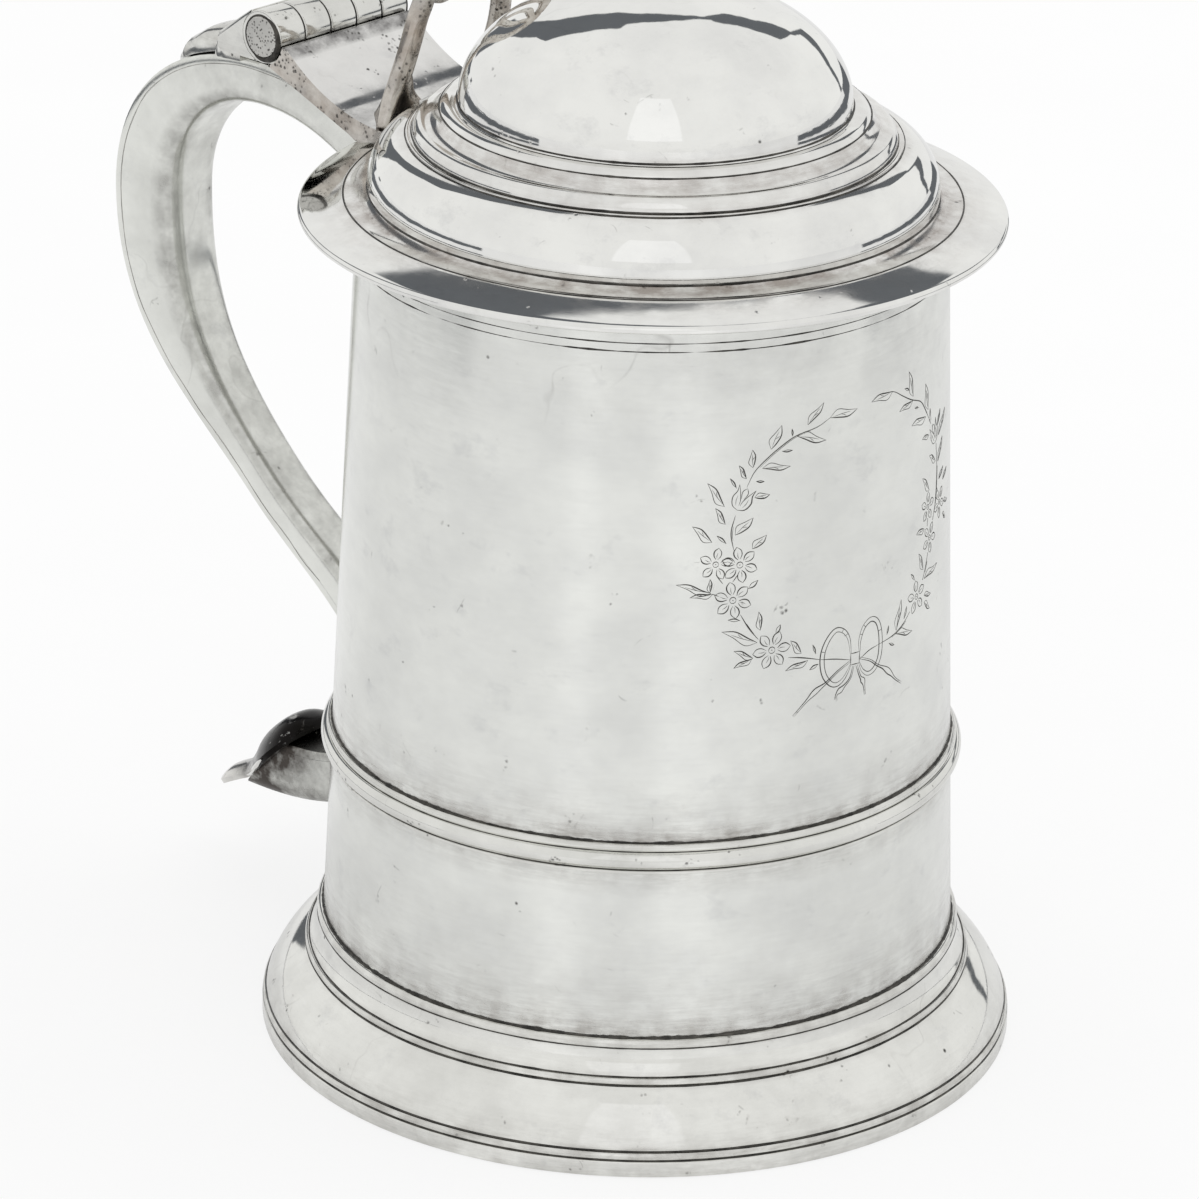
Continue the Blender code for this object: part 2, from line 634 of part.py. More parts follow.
def channel_outline(depth, width):
    """The bent sheet of the U-channel, open towards the handle's back."""
    mouth = depth / 2 - HANDLE_BACK_SHEET - SOLDER_GAP
    half = width / 2
    outline = []
    for side, sheet in ((1, 0), (-1, HANDLE_SHEET)):
        corner = HANDLE_CORNER_SHARE * depth - sheet
        low = -depth / 2 + sheet
        wall = half - sheet
        path = [(-wall, mouth), (-wall, low + corner)]
        path += arc(path[-1], (-wall + corner, low), -corner * (1 - math.sqrt(0.5)), 3)
        path += [(-x, z) for x, z in reversed(path)]
        outline += path if side > 0 else path[::-1]
    return outline


def strip_outline(depth, width):
    """The back strip's section, slightly crowned."""
    half = width / 2
    crown = HANDLE_BACK_SHEET / 3
    low = depth / 2 - HANDLE_BACK_SHEET
    return [
        (-half, low),
        (half, low),
        (half, depth / 2 - crown),
        (half / 2, depth / 2),
        (-half / 2, depth / 2),
        (-half, depth / 2 - crown),
    ]


def tail_cut_frame():
    """A point on the tail's slanted cut, and the cut's downward way and outward normal in (x, z)."""
    rise = (TAIL_REACH - TAIL_CUT_REACH) * math.tan(math.radians(TAIL_SLOPE))
    point = Vector((-TAIL_CUT_REACH, TAIL_HEIGHT + rise))
    down = Vector(polar(1, 180 + TAIL_CUT_ANGLE))
    return point, down, Vector((down.y, -down.x))


def make_handle():
    """The hollow handle: the U-channel that faces the barrel, and the strip soldered over its back."""
    sections = handle_sections()
    clearance = [(wall_radius(z) + SOLDER_GAP, z) for z in (HINGE_HEIGHT, 0)]
    for name, outline in (("handle_channel", channel_outline), ("handle_back", strip_outline)):
        rings = [across_handle(c, way, outline(depth, width)) for c, way, depth, width in sections]
        piece = loft(name, rings, AXIS)
        combine(piece, frustum_cutter(name + "_barrel_clearance", clearance, AXIS), "DIFFERENCE")
        combine(piece, tail_cutter(name + "_tail_cut"), "DIFFERENCE")


def tail_cutter(name):
    """A block beyond the slanted end of the tail."""
    point, down, normal = tail_cut_frame()
    size = TAIL_DEPTH * TAIL_CUT_MARGIN
    corners = [point + down * size, point + (down + normal) * size, point + (normal - down) * size]
    corners.append(point - down * size)
    rings = [[(c.x, y, c.y) for c in corners] for y in (-TAIL_WIDTH, TAIL_WIDTH)]
    return loft(name, rings, AXIS)


def make_terminal():
    """The heart-shaped boss that closes the tail, its point drawn out past the tail as a flared lip."""
    point, down, normal = tail_cut_frame()
    start = point + normal * SOLDER_GAP - down * TERMINAL_HEAD
    stations = [
        (0.0, 0.25, 0.35, 0.0),
        (0.05, 0.65, 0.7, 0.0),
        (0.13, 0.9, 1.0, 0.0),
        (0.26, 1.0, 1.08, 0.0),
        (0.4, 0.92, 1.06, 0.0),
        (0.56, 0.7, 0.86, 0.0),
        (0.7, 0.52, 0.74, 0.2),
        (0.8, 0.52, 0.84, 0.5),
        (0.9, 0.56, 1.0, 0.8),
        (1.0, 0.4, 0.98, 1.0),
    ]
    rings = []
    for along, width, crest, lip in stations:
        base = start + down * (TERMINAL_LENGTH * along) + normal * (TERMINAL_LIP * lip)
        edge = TERMINAL_EDGE
        height = max(TERMINAL_RISE * crest - TERMINAL_LIP * lip, edge)
        ring = []
        for across in (-1, -0.75, -0.4, 0, 0.4, 0.75, 1):
            top = base + normal * (edge + (height - edge) * (1 - across * across))
            ring.append((top.x, TERMINAL_WIDTH / 2 * width * across, top.y))
        for across in (1, 0, -1):
            ring.append((base.x, TERMINAL_WIDTH / 2 * width * across, base.y))
        rings.append(ring)
    loft("handle_terminal", rings, AXIS)


def make_hinge_drop():
    """The saddle under the hinge block, running on down the handle's back as a two-lobed drop."""
    backs = []
    for centre, way, depth, width in handle_sections():
        backs.append(centre + Vector((way.y, -way.x)) * (depth / 2))
    front = polar(SEAT_RADIUS, BLOCK_HEEL_ANGLE)[0] - HINGE_REACH
    block_end = -HINGE_REACH - BLOCK_LENGTH
    lobe_front = block_end - SOLDER_GAP
    lobe_end = lobe_front - LOBE_LENGTH
    tip = lobe_end - DROP_LENGTH
    lobes = [
        (tip, DROP_THICKNESS * 0.4, DROP_TIP_WIDTH),
        (tip + DROP_LENGTH * 0.2, DROP_THICKNESS * 0.85, DROP_WIDTH * 0.9),
        (tip + DROP_LENGTH * 0.6, DROP_THICKNESS, DROP_WIDTH),
        (lobe_end - SOLDER_GAP, DROP_THICKNESS, DROP_WIDTH),
        (lobe_end, LOBE_THICKNESS * 0.6, LOBE_WIDTH * 0.8),
        (lobe_end + LOBE_LENGTH * 0.15, LOBE_THICKNESS * 0.9, LOBE_WIDTH * 0.95),
        (lobe_end + LOBE_LENGTH * 0.5, LOBE_THICKNESS, LOBE_WIDTH),
        (lobe_front, LOBE_THICKNESS, LOBE_WIDTH),
        (block_end, SADDLE_THICKNESS, SADDLE_WIDTH),
    ]
    places = [x for x, thickness, width in lobes] + [front]
    places += [back.x for back in backs if tip < back.x < front and back.y > HANDLE_WIDEST_HEIGHT]
    saddle_top = HINGE_HEIGHT - SEAT_RADIUS - SOLDER_GAP
    rings = []
    for x in sorted(places):
        floor = between(backs[::-1], x) + SOLDER_GAP
        half = between([(place_x, width) for place_x, thickness, width in lobes], x) / 2
        top = floor + between([(place_x, thickness) for place_x, thickness, width in lobes], x)
        if x >= block_end:
            top = saddle_top
        side = floor + (top - floor) * 0.6
        ring = [(x, -half, floor), (x, half, floor), (x, half, side)]
        ring += [(x, half * 0.6, top), (x, -half * 0.6, top), (x, -half, side)]
        rings.append(ring)
    loft("hinge_drop", rings, AXIS)


def thumb_point(y, height):
    """A point of the thumbpiece: how far across, and how high above its foot along the bow."""
    foot_x = -LARGE_OVOLO_RADIUS - THUMB_FOOT_FROM_OVOLO
    bow = 1 - ((height - THUMB_BELLY) / THUMB_BELLY) ** 2
    return foot_x + THUMB_SWEEP * bow, y, plate_height(foot_x) + SOLDER_GAP + height


def through(points, steps):
    """A smooth line through points of (across, height), as Catmull-Rom stretches."""
    knots = [Vector(p) for p in points]
    knots = [2 * knots[0] - knots[1], *knots, 2 * knots[-1] - knots[-2]]
    line = []
    for before, start, end, after in zip(knots, knots[1:], knots[2:], knots[3:]):
        start_pull = start + (end - before) / 6
        end_pull = end - (after - start) / 6
        line += bezier(start, start_pull, end_pull, end, steps)
    return [*line, knots[-2]]


def make_thumbpiece():
    """The openwork thumbpiece: a bowed frame with a crest, a rail, a pierced splat and a spread foot."""
    wide = THUMB_HALF_WIDTH
    high = THUMB_HEIGHT - THUMB_BAR
    rail = THUMB_RAIL_HEIGHT
    half_frame = [(THUMB_LEG_STANCE, THUMB_FOOT_HEIGHT / 2), (wide * 1.1, rail / 3)]
    half_frame += [(wide * 1.05, rail * 0.75), (wide * 0.9, rail)]
    half_frame += [(wide * 1.1, rail + (high - rail) / 2), (wide * 0.75, high * 0.92)]
    frame = half_frame + [(0, high)] + [(-y, s) for y, s in reversed(half_frame)]
    rail_line = [(wide * 0.95, rail), (wide / 2, rail - THUMB_BAR), (0, rail)]
    rail_line += [(-y, s) for y, s in rail_line[1::-1]]
    window = high - rail
    splat = [(0, rail), (wide * 0.4, rail + window * 0.45), (wide * 0.2, rail + window * 0.75), (0, high)]
    tone = silver("thumbpiece_silver", (0.62, 0.58, 0.54), 0.35)

    def bar(outline, radius):
        return tube_mesh([thumb_point(p.x, p.y) for p in through(outline, 3)], radius)

    thumb = place("thumbpiece", bar(frame, THUMB_BAR), LID_PIVOT, tone)
    mirrored = [(-y, s) for y, s in splat]
    for name, outline in (("rail", rail_line), ("splat_left", splat), ("splat_right", mirrored)):
        combine(thumb, place("thumb_" + name, bar(outline, THUMB_SCROLL_BAR), LID_PIVOT), "UNION")
    combine(thumb, make_thumb_foot(), "UNION")
    for name, side in (("thumb_root_near", -1), ("thumb_root_far", 1)):
        combine(thumb, make_thumb_root(name, side), "UNION")


def make_thumb_foot():
    """The bar that spreads the thumbpiece's load on the hinge plate, parallel to the plate's top."""
    middle = -LARGE_OVOLO_RADIUS - THUMB_FOOT_FROM_OVOLO
    ends = (middle - THUMB_FOOT_LENGTH / 2, middle + THUMB_FOOT_LENGTH / 2)
    low = [(x, plate_height(x) + SOLDER_GAP) for x in ends]
    high = [(x, z + THUMB_FOOT_HEIGHT) for x, z in low]
    reach = THUMB_HALF_WIDTH + THUMB_FOOT_SPREAD
    return place("thumb_foot", side_slab([low[0], low[1], high[1], high[0]], reach), LID_PIVOT)


def make_thumb_root(name, side):
    """The web that spreads one leg outwards and inwards on its foot: a low triangle, narrower on top."""
    middle = -LARGE_OVOLO_RADIUS - THUMB_FOOT_FROM_OVOLO
    base = plate_height(middle) + SOLDER_GAP + THUMB_FOOT_HEIGHT / 2
    top = base + THUMB_ROOT_HEIGHT
    leg = THUMB_LEG_STANCE
    outline = [(leg + THUMB_FOOT_SPREAD, base), (leg + THUMB_ROOT_TOP / 2, top)]
    outline += [(leg - THUMB_ROOT_TOP / 2, top), (leg - THUMB_FOOT_SPREAD, base)]
    ends = (middle - THUMB_ROOT_LENGTH / 2, middle + THUMB_ROOT_LENGTH / 2)
    return loft(name, [[(x, side * y, z) for y, z in outline] for x in ends], LID_PIVOT)


clear_scene()
PARTS = make_collection("tankard")
CUTTERS = make_collection("tankard_cutters")
AXIS = make_empty("barrel_axis", (AXIS_OFFSET, 0, 0))
LID_PIVOT = make_empty("lid_pivot", (-HINGE_REACH, 0, HINGE_HEIGHT), AXIS)
bpy.context.view_layer.update()

make_barrel()
make_base_plate()
make_girdle()
make_foot()
make_handle()
make_terminal()
make_hinge_block()
make_hinge_drop()
make_lid_cover()
make_lid_bezel()
make_hinge_plate()
make_knuckles()
make_pin()
make_thumbpiece()
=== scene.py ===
"""Silver quart tankard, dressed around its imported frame.

Every piece is made again finely enough for polished metal: the turned mouldings, the scroll handle,
the knuckle hinge and the openwork thumbpiece. Thin beads of oxide lie in the joints, and the barrel
carries an engraved wreath with a ribbon bow.

Sizes are millimetres from the barrel's axis at the level of the table; MM turns them into metres.
"""

import math

import bmesh
import bpy
from mathutils import Matrix, Vector, noise


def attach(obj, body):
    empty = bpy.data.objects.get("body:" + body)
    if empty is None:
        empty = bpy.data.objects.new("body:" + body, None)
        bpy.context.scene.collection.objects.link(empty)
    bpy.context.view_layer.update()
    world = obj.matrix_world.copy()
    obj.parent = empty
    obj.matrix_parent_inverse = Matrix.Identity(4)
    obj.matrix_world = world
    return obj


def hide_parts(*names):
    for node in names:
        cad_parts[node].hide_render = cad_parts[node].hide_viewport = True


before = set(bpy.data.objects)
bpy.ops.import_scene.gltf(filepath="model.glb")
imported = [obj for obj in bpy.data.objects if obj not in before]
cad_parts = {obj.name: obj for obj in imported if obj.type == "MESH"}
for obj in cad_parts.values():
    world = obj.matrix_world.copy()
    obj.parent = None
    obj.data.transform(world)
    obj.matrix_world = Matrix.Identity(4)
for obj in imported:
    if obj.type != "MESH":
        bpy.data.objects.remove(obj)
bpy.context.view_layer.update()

MM = 0.001
# Where the barrel's axis stands in the frame, and how finely the pieces are cut and welded
AXIS_X = 29.8
WELD = 0.004
SHARP = math.radians(34)
TURN_STEPS = 200
PIN_STEPS = 64

# Barrel, girdle and foot
LIP_Z = 150.2
LIP_R = 50.0
WALL_TAPER = 0.040154
WALL = 0.8
SEAT_Z = 16.0
GIRDLE_TOP = 56.2
GIRDLE_BOTTOM = 51.0
FOOT_TOP = 20.7
FOOT_R = 66.0
RIM_TOP = 4.3
# Height and size of the two lines cut below the lip
INCISED_LINES = ((143.54, 0.14), (142.09, 0.24))

# Lid
DOME_R = 33.2
DOME_FOOT = 168.6
DOME_RISE = 20.0
LID_SHEET = 0.8

# Hinge
HINGE_X = -78.3
HINGE_Z = 164.8
KNUCKLE_R = 4.75
KNUCKLE_LENGTH = 6.0
KNUCKLE_GAP = 0.3
HINGE_HALF = 15.6
PLUG_R = 3.7
PIN_BORE_R = 2.5
BLOCK_END = -89.2
# The block wraps the knuckles from this direction on, and so far round, in degrees
BLOCK_WRAP_FROM = 118
BLOCK_WRAP = 144

# Camera, fitted to the circles of the photograph; its turn is in degrees, the other angles in radians
IMAGE_SIZE = 1199
FOCAL_PIXELS = 6437.26
SENSOR = 36.0
CAMERA_BACK = 1026.52
CAMERA_HEIGHT = 507.15
CAMERA_PITCH = 0.396373
CAMERA_YAW = -0.0074984
CAMERA_ROLL = -0.0202096
CAMERA_TURN = 42.0


def wall_radius(height):
    """Outer radius of the tapered barrel at a height."""
    return LIP_R + WALL_TAPER * (LIP_Z - height)


def polar(radius, degrees):
    """A point on a circle about the origin."""
    return radius * math.cos(math.radians(degrees)), radius * math.sin(math.radians(degrees))


def arc(start, end, bulge, steps):
    """Points after start up to end on a circular arc; a positive bulge lies to the left of the way."""
    start, end = Vector(start), Vector(end)
    chord = end - start
    side = Vector((-chord.y, chord.x)).normalized()
    radius = (chord.length ** 2 / 4 + bulge ** 2) / (2 * abs(bulge))
    centre = (start + end) / 2 + side * (bulge - math.copysign(radius, bulge))
    turn = 2 * math.asin(min(1.0, chord.length / 2 / radius)) * -math.copysign(1, bulge)
    spins = [Matrix.Rotation(turn * i / steps, 2) for i in range(1, steps + 1)]
    return [tuple(centre + spin @ (start - centre)) for spin in spins]


def through(points, steps):
    """A smooth line through points of any dimension."""
    knots = [Vector(p) for p in points]
    knots = [2 * knots[0] - knots[1], *knots, 2 * knots[-1] - knots[-2]]
    line = []
    for before, start, end, after in zip(knots, knots[1:], knots[2:], knots[3:]):
        for step in range(steps):
            t = step / steps
            swing = (end - before) * (t - 2 * t * t + t ** 3) / 2 + (after - start) * (t ** 3 - t * t) / 2
            line.append(start + (end - start) * t * t * (3 - 2 * t) + swing)
    return [*line, knots[-2]]


def headings(points):
    """Unit directions along a line of points, each from the point before to the point after."""
    ends = [points[0], *points, points[-1]]
    return [(after - before).normalized() for before, after in zip(ends, ends[2:])]


def along(table, place, ease=True):
    """Values at a place between a table's (place, value, ...) rows, eased from row to row or straight."""
    low = max((row for row in table if row[0] <= place), default=table[0], key=lambda row: row[0])
    high = min((row for row in table if row[0] >= place), default=table[-1], key=lambda row: row[0])
    t = (place - low[0]) / (high[0] - low[0]) if high[0] > low[0] else 0
    t = t * t * (3 - 2 * t) if ease else t
    return [a + (b - a) * t for a, b in zip(low[1:], high[1:])]


def eased(outline, radius, closed=True, least=14):
    """An outline with its corners rounded, as a file and a burnisher leave them."""
    rounded = []
    for index, point in enumerate(outline):
        corner = Vector(point)
        if not closed and index in (0, len(outline) - 1):
            rounded.append(tuple(corner))
            continue
        before = Vector(outline[index - 1]) - corner
        after = Vector(outline[(index + 1) % len(outline)]) - corner
        if math.degrees(before.angle(-after)) < least:
            rounded.append(tuple(corner))
            continue
        before *= min(radius / before.length, 0.4)
        after *= min(radius / after.length, 0.4)
        rounded += [tuple(corner + before * (1 - t) ** 2 + after * t * t) for t in (0, 0.25, 0.5, 0.75, 1)]
    return rounded


def join_rows(bm, rows, loop=False):
    """Faces between closed rows of points; the rows meet again if a loop, else their ends are capped."""
    for near, far in zip(rows, rows[1:] + rows[:1] if loop else rows[1:]):
        for i in range(len(near)):
            j = (i + 1) % len(near)
            bm.faces.new((near[i], near[j], far[j], far[i]))
    if not loop:
        bm.faces.new(rows[0][::-1])
        bm.faces.new(rows[-1])


def skin(rings, loop=False):
    """A closed bmesh through rings of points, joined as rows."""
    bm = bmesh.new()
    join_rows(bm, [[bm.verts.new(p) for p in ring] for ring in rings], loop)
    return bm


def settle(name, bm, sharp=SHARP):
    """Store a bmesh in millimetres as a mesh in metres, faces out and smooth between sharp edges."""
    bmesh.ops.remove_doubles(bm, verts=bm.verts, dist=WELD)
    bmesh.ops.recalc_face_normals(bm, faces=bm.faces)
    if bm.calc_volume(signed=True) < 0:
        bmesh.ops.reverse_faces(bm, faces=bm.faces)
    bmesh.ops.scale(bm, vec=(MM, MM, MM), verts=bm.verts)
    mesh = bpy.data.meshes.new(name)
    bm.to_mesh(mesh)
    bm.free()
    mesh.shade_smooth()
    mesh.set_sharp_from_angle(angle=sharp)
    return mesh


def dress(mesh, finish, body, slot, *nodes):
    """Put a mesh in place as a piece on a body, with its finish, standing for some CAD nodes."""
    piece = bpy.data.objects.new(mesh.name, mesh)
    bpy.context.scene.collection.objects.link(piece)
    piece.location = (AXIS_X * MM, 0, 0)
    mesh.materials.append(finish)
    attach(piece, body)
    if nodes:
        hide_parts(*nodes)
    return piece


def turned(name, profile):
    """A piece turned about the barrel's axis from a closed profile of (radius, height)."""
    rings = []
    for step in range(TURN_STEPS):
        x, y = polar(1, 360 * step / TURN_STEPS)
        rings.append([(r * x, r * y, z) for r, z in profile])
    return settle(name, skin(rings, loop=True))


def turned_on_pin(name, profile):
    """A piece turned about the hinge pin from a closed profile of (radius, place along the pin)."""
    rings = []
    for step in range(PIN_STEPS):
        x, z = polar(1, 360 * step / PIN_STEPS)
        rings.append([(HINGE_X + r * x, y, HINGE_Z + r * z) for r, y in profile])
    return settle(name, skin(rings, loop=True))


def linear(code):
    """Linear colour of an sRGB hex value."""
    parts = [int(code[i:i + 2], 16) / 255 for i in (1, 3, 5)]
    return [p / 12.92 if p <= 0.04045 else ((p + 0.055) / 1.055) ** 2.4 for p in parts] + [1]


def per_mm(size):
    """Texture scale of a pattern whose features are so many millimetres wide."""
    return 1 / (size * MM)


def add(tree, kind, settings, links=()):
    """Add a node with its settings, and with links from other nodes' outputs to its sockets."""
    item = tree.nodes.new("ShaderNode" + kind)
    for key, value in settings.items():
        if key == "stops":
            ramp = item.color_ramp.elements
            first, *middle, last = sorted(value)
            for stop, (place, grey) in ((ramp[0], first), (ramp[1], last)):
                stop.position, stop.color = place, (grey, grey, grey, 1)
            for place, grey in middle:
                ramp.new(place).color = (grey, grey, grey, 1)
        elif isinstance(key, str) and hasattr(item, key):
            setattr(item, key, value)
        else:
            item.inputs[key].default_value = value
    for key, source in dict(links).items():
        tree.links.new(source, item.inputs[key])
    return item


# Tones that lie on the silver: where the polish has gone, where drops dried, in scratches and in pits
SMUDGE = "#A3A4A9"
WATER_MARK = "#8A8783"
HAIRLINE = "#7C7A77"
PIT = "#3B3936"


def silver(name, light, shade, tarnish, polish, bands, haze=0.1, dull=0.25, stain=0.1, stain_from=-10,
           pits=0.0, pit_gap=1.2, wave=0.00008, grain=9, unwiped=False, metal=1.0):
    """Sterling silver, worked and worn: cloudy tone, tarnish by height, water marks, scratches and pits.

    bands are (height in mm, tarnish) rows, where much over 1 leaves no bright spot; polish is the lowest
    roughness, haze what the scratches add to it and dull what full tarnish adds. Water marks of strength
    stain lie above the height stain_from. grain is how much longer than wide the scratches are; a flag adds
    the painted shade that the handle's mesh carries, as tarnish. metal is below 1 where the skin is frosted
    white.
    """
    finish = bpy.data.materials.new(name)
    finish.use_nodes = True
    tree = finish.node_tree
    shader = tree.nodes["Principled BSDF"]
    shader.inputs["Metallic"].default_value = metal
    place = add(tree, "TexCoord", {}).outputs["Object"]
    height = add(tree, "SeparateXYZ", {}, {0: place}).outputs["Z"]

    # Cloudy dulling, 16 mm across, drawn out sideways by the cloth, and a finer mottle of 5 mm
    wiped = add(tree, "Mapping", {"Scale": (1, 1, 1.4)}, {"Vector": place}).outputs[0]
    clouds = add(tree, "TexNoise", {"Scale": per_mm(16), "Detail": 5, "Roughness": 0.62}, {"Vector": wiped})
    mottle = add(tree, "TexNoise", {"Scale": per_mm(5), "Detail": 3, "Roughness": 0.6}, {"Vector": place})
    cloudy = add(tree, "ValToRGB", {"stops": [(0.36, 0.0), (0.68, 1.0)]}, {0: clouds.outputs["Fac"]})

    # Blue-grey smudges of about 9 mm where the polish has gone
    smears = add(tree, "TexNoise", {"Scale": per_mm(9), "Detail": 5, "Roughness": 0.7}, {"Vector": wiped})
    smudge = add(tree, "MapRange", {"From Min": 0.58, "From Max": 0.82, "To Max": 0.32},
                 {"Value": smears.outputs["Fac"]})

    # Wiping scratches run mostly round the piece: 0.5 mm apart here, coarser than life so that they show
    stretch = add(tree, "Mapping", {"Scale": (1, 1, grain)}, {"Vector": place})
    scratch = add(tree, "TexNoise", {"Scale": per_mm(7), "Detail": 6, "Roughness": 0.75},
                  {"Vector": stretch.outputs[0]})

    # Tarnish that gathers at some heights, streaked by the same wiping
    low, high = bands[0][0], bands[-1][0]
    level = add(tree, "MapRange", {"From Min": low * MM, "From Max": high * MM}, {"Value": height})
    stops = [((z - low) / (high - low), grey) for z, grey in bands]
    gather = add(tree, "ValToRGB", {"stops": stops}, {0: level.outputs[0]}).outputs["Color"]
    # The handle's mesh carries painted shade, laid on as tarnish
    if unwiped:
        carried = add(tree, "Attribute", {"attribute_name": "unwiped"})
        gather = add(tree, "Math", {"operation": "ADD"}, {0: gather, 1: carried.outputs["Fac"]}).outputs[0]
    streaks = add(tree, "Math", {"operation": "ADD"}, {0: scratch.outputs["Fac"], 1: mottle.outputs["Fac"]})
    broken = add(tree, "MapRange", {"From Min": 0.78, "From Max": 1.22, "To Min": 0.36 if unwiped else 0.15},
                 {"Value": streaks.outputs[0]})
    browned = add(tree, "Math", {"operation": "MULTIPLY", "use_clamp": True},
                  {0: gather, 1: broken.outputs[0]})

    # Water marks: a faint tone with a thin wavering edge, about 0.3 mm wide, here and there where drops dried
    drops = add(tree, "TexNoise", {"Scale": per_mm(60), "Detail": 4, "Roughness": 0.5, "Distortion": 0.2},
                {"Vector": place})
    away = add(tree, "Math", {"operation": "SUBTRACT", 1: 0.5}, {0: drops.outputs["Fac"]})
    away = add(tree, "Math", {"operation": "ABSOLUTE"}, {0: away.outputs[0]})
    edge = add(tree, "MapRange", {"From Min": 0.004, "From Max": 0.0, "To Max": stain},
               {"Value": away.outputs[0]})
    dried = add(tree, "MapRange", {"From Min": 0.5, "From Max": 0.54, "To Max": stain / 4},
                {"Value": drops.outputs["Fac"]})
    mark = add(tree, "Math", {"operation": "MAXIMUM"}, {0: edge.outputs[0], 1: dried.outputs[0]})
    reach = add(tree, "MapRange", {"From Min": stain_from * MM, "From Max": (stain_from + 14) * MM},
                {"Value": height})
    patchy = add(tree, "MapRange", {"From Min": 0.42, "From Max": 0.62}, {"Value": clouds.outputs["Fac"]})
    there = add(tree, "Math", {"operation": "MULTIPLY"}, {0: reach.outputs[0], 1: patchy.outputs[0]})
    mark = add(tree, "Math", {"operation": "MULTIPLY"}, {0: mark.outputs[0], 1: there.outputs[0]})

    # Hairline scratches a few millimetres long, drawn 0.2 mm wide so that they show
    hairs = add(tree, "TexNoise", {"Scale": per_mm(11), "Detail": 1}, {"Vector": place})
    off = add(tree, "Math", {"operation": "SUBTRACT", 1: 0.5}, {0: hairs.outputs["Fac"]})
    off = add(tree, "Math", {"operation": "ABSOLUTE"}, {0: off.outputs[0]})
    hair = add(tree, "MapRange", {"From Min": 0.009, "From Max": 0.0, "To Max": 0.34},
               {"Value": off.outputs[0]})
    rare = add(tree, "MapRange", {"From Min": 0.62, "From Max": 0.68}, {"Value": mottle.outputs["Fac"]})
    hair = add(tree, "Math", {"operation": "MULTIPLY"}, {0: hair.outputs[0], 1: rare.outputs[0]})

    # Pits and specks, drawn coarser than life so that they show; a rough piece has them all over
    specks = add(tree, "TexVoronoi", {"Scale": per_mm(pit_gap), "Randomness": 1.0}, {"Vector": place})
    pit = add(tree, "MapRange", {"From Min": 0.42, "From Max": 0.16, "To Max": 0.95},
              {"Value": specks.outputs["Distance"]})
    some = add(tree, "MapRange", {"From Min": 0.7 - 0.4 * pits, "From Max": 0.76 - 0.4 * pits},
               {"Value": mottle.outputs["Fac"]})
    hole = add(tree, "Math", {"operation": "MULTIPLY"}, {0: pit.outputs[0], 1: some.outputs[0]})

    # Each tone lies over the ones before it
    tone = add(tree, "Mix", {"data_type": "RGBA", 6: linear(light), 7: linear(shade)},
               {0: cloudy.outputs["Color"]})
    covers = [(SMUDGE, smudge), (tarnish, browned), (WATER_MARK, mark), (HAIRLINE, hair), (PIT, hole)]
    for colour, cover in covers:
        tone = add(tree, "Mix", {"data_type": "RGBA", 7: linear(colour)},
                   {0: cover.outputs[0], 6: tone.outputs[2]})
    tree.links.new(tone.outputs[2], shader.inputs["Base Color"])

    gloss = add(tree, "MapRange",
                {"From Min": 0.3, "From Max": 0.7, "To Min": polish, "To Max": polish + haze},
                {"Value": scratch.outputs["Fac"]})
    blur = add(tree, "Math", {"operation": "MULTIPLY_ADD", 1: dull},
               {0: browned.outputs[0], 2: gloss.outputs[0]})
    tree.links.new(blur.outputs[0], shader.inputs["Roughness"])

    # Hammer waves of about 11 mm left by planishing, then the scratches, then the pits
    waves = add(tree, "TexNoise", {"Scale": per_mm(11), "Detail": 1}, {"Vector": place})
    bump = add(tree, "Bump", {"Strength": 0.6, "Distance": wave}, {"Height": waves.outputs["Fac"]})
    bump = add(tree, "Bump", {"Strength": 0.06, "Distance": 0.00003},
               {"Height": scratch.outputs["Fac"], "Normal": bump.outputs[0]})
    bump = add(tree, "Bump", {"Strength": 0.5, "Distance": 0.0001, "invert": True},
               {"Height": hole.outputs[0], "Normal": bump.outputs[0]})
    tree.links.new(bump.outputs[0], shader.inputs["Normal"])
    return finish


def oxide(name, dark, warm):
    """Silver sulphide left in cuts and joints: near-black, matt, with worn grey patches."""
    finish = bpy.data.materials.new(name)
    finish.use_nodes = True
    tree = finish.node_tree
    shader = tree.nodes["Principled BSDF"]
    shader.inputs["Metallic"].default_value = 0.6
    place = add(tree, "TexCoord", {}).outputs["Object"]
    worn = add(tree, "TexNoise", {"Scale": per_mm(4), "Detail": 4, "Roughness": 0.7}, {"Vector": place})
    fade = add(tree, "ValToRGB", {"stops": [(0.4, 0.0), (0.7, 1.0)]}, {0: worn.outputs["Fac"]})
    tone = add(tree, "Mix", {"data_type": "RGBA", 6: linear(dark), 7: linear(warm)},
               {0: fade.outputs["Color"]})
    tree.links.new(tone.outputs[2], shader.inputs["Base Color"])
    matt = add(tree, "MapRange", {"To Min": 0.55, "To Max": 0.35}, {"Value": worn.outputs["Fac"]})
    tree.links.new(matt.outputs["Result"], shader.inputs["Roughness"])
    return finish


# Raised sheet: hammered up from flat, planished, then dulled by two centuries of handling
barrel_silver = silver(
    "raised_sheet_silver", "#EBECE8", "#E0E1DE", "#8A847E", 0.13,
    [(16, 0.4), (20.8, 0.75), (25, 0.3), (32, 0.1), (46, 0.04), (50.8, 0.4), (51.2, 0.2), (56.2, 0.85),
     (59.5, 0.24), (68, 0.04), (120, 0.03), (141, 0.08), (150.2, 0.2)], haze=0.08, stain=0.36, stain_from=127,
    pits=0.06)
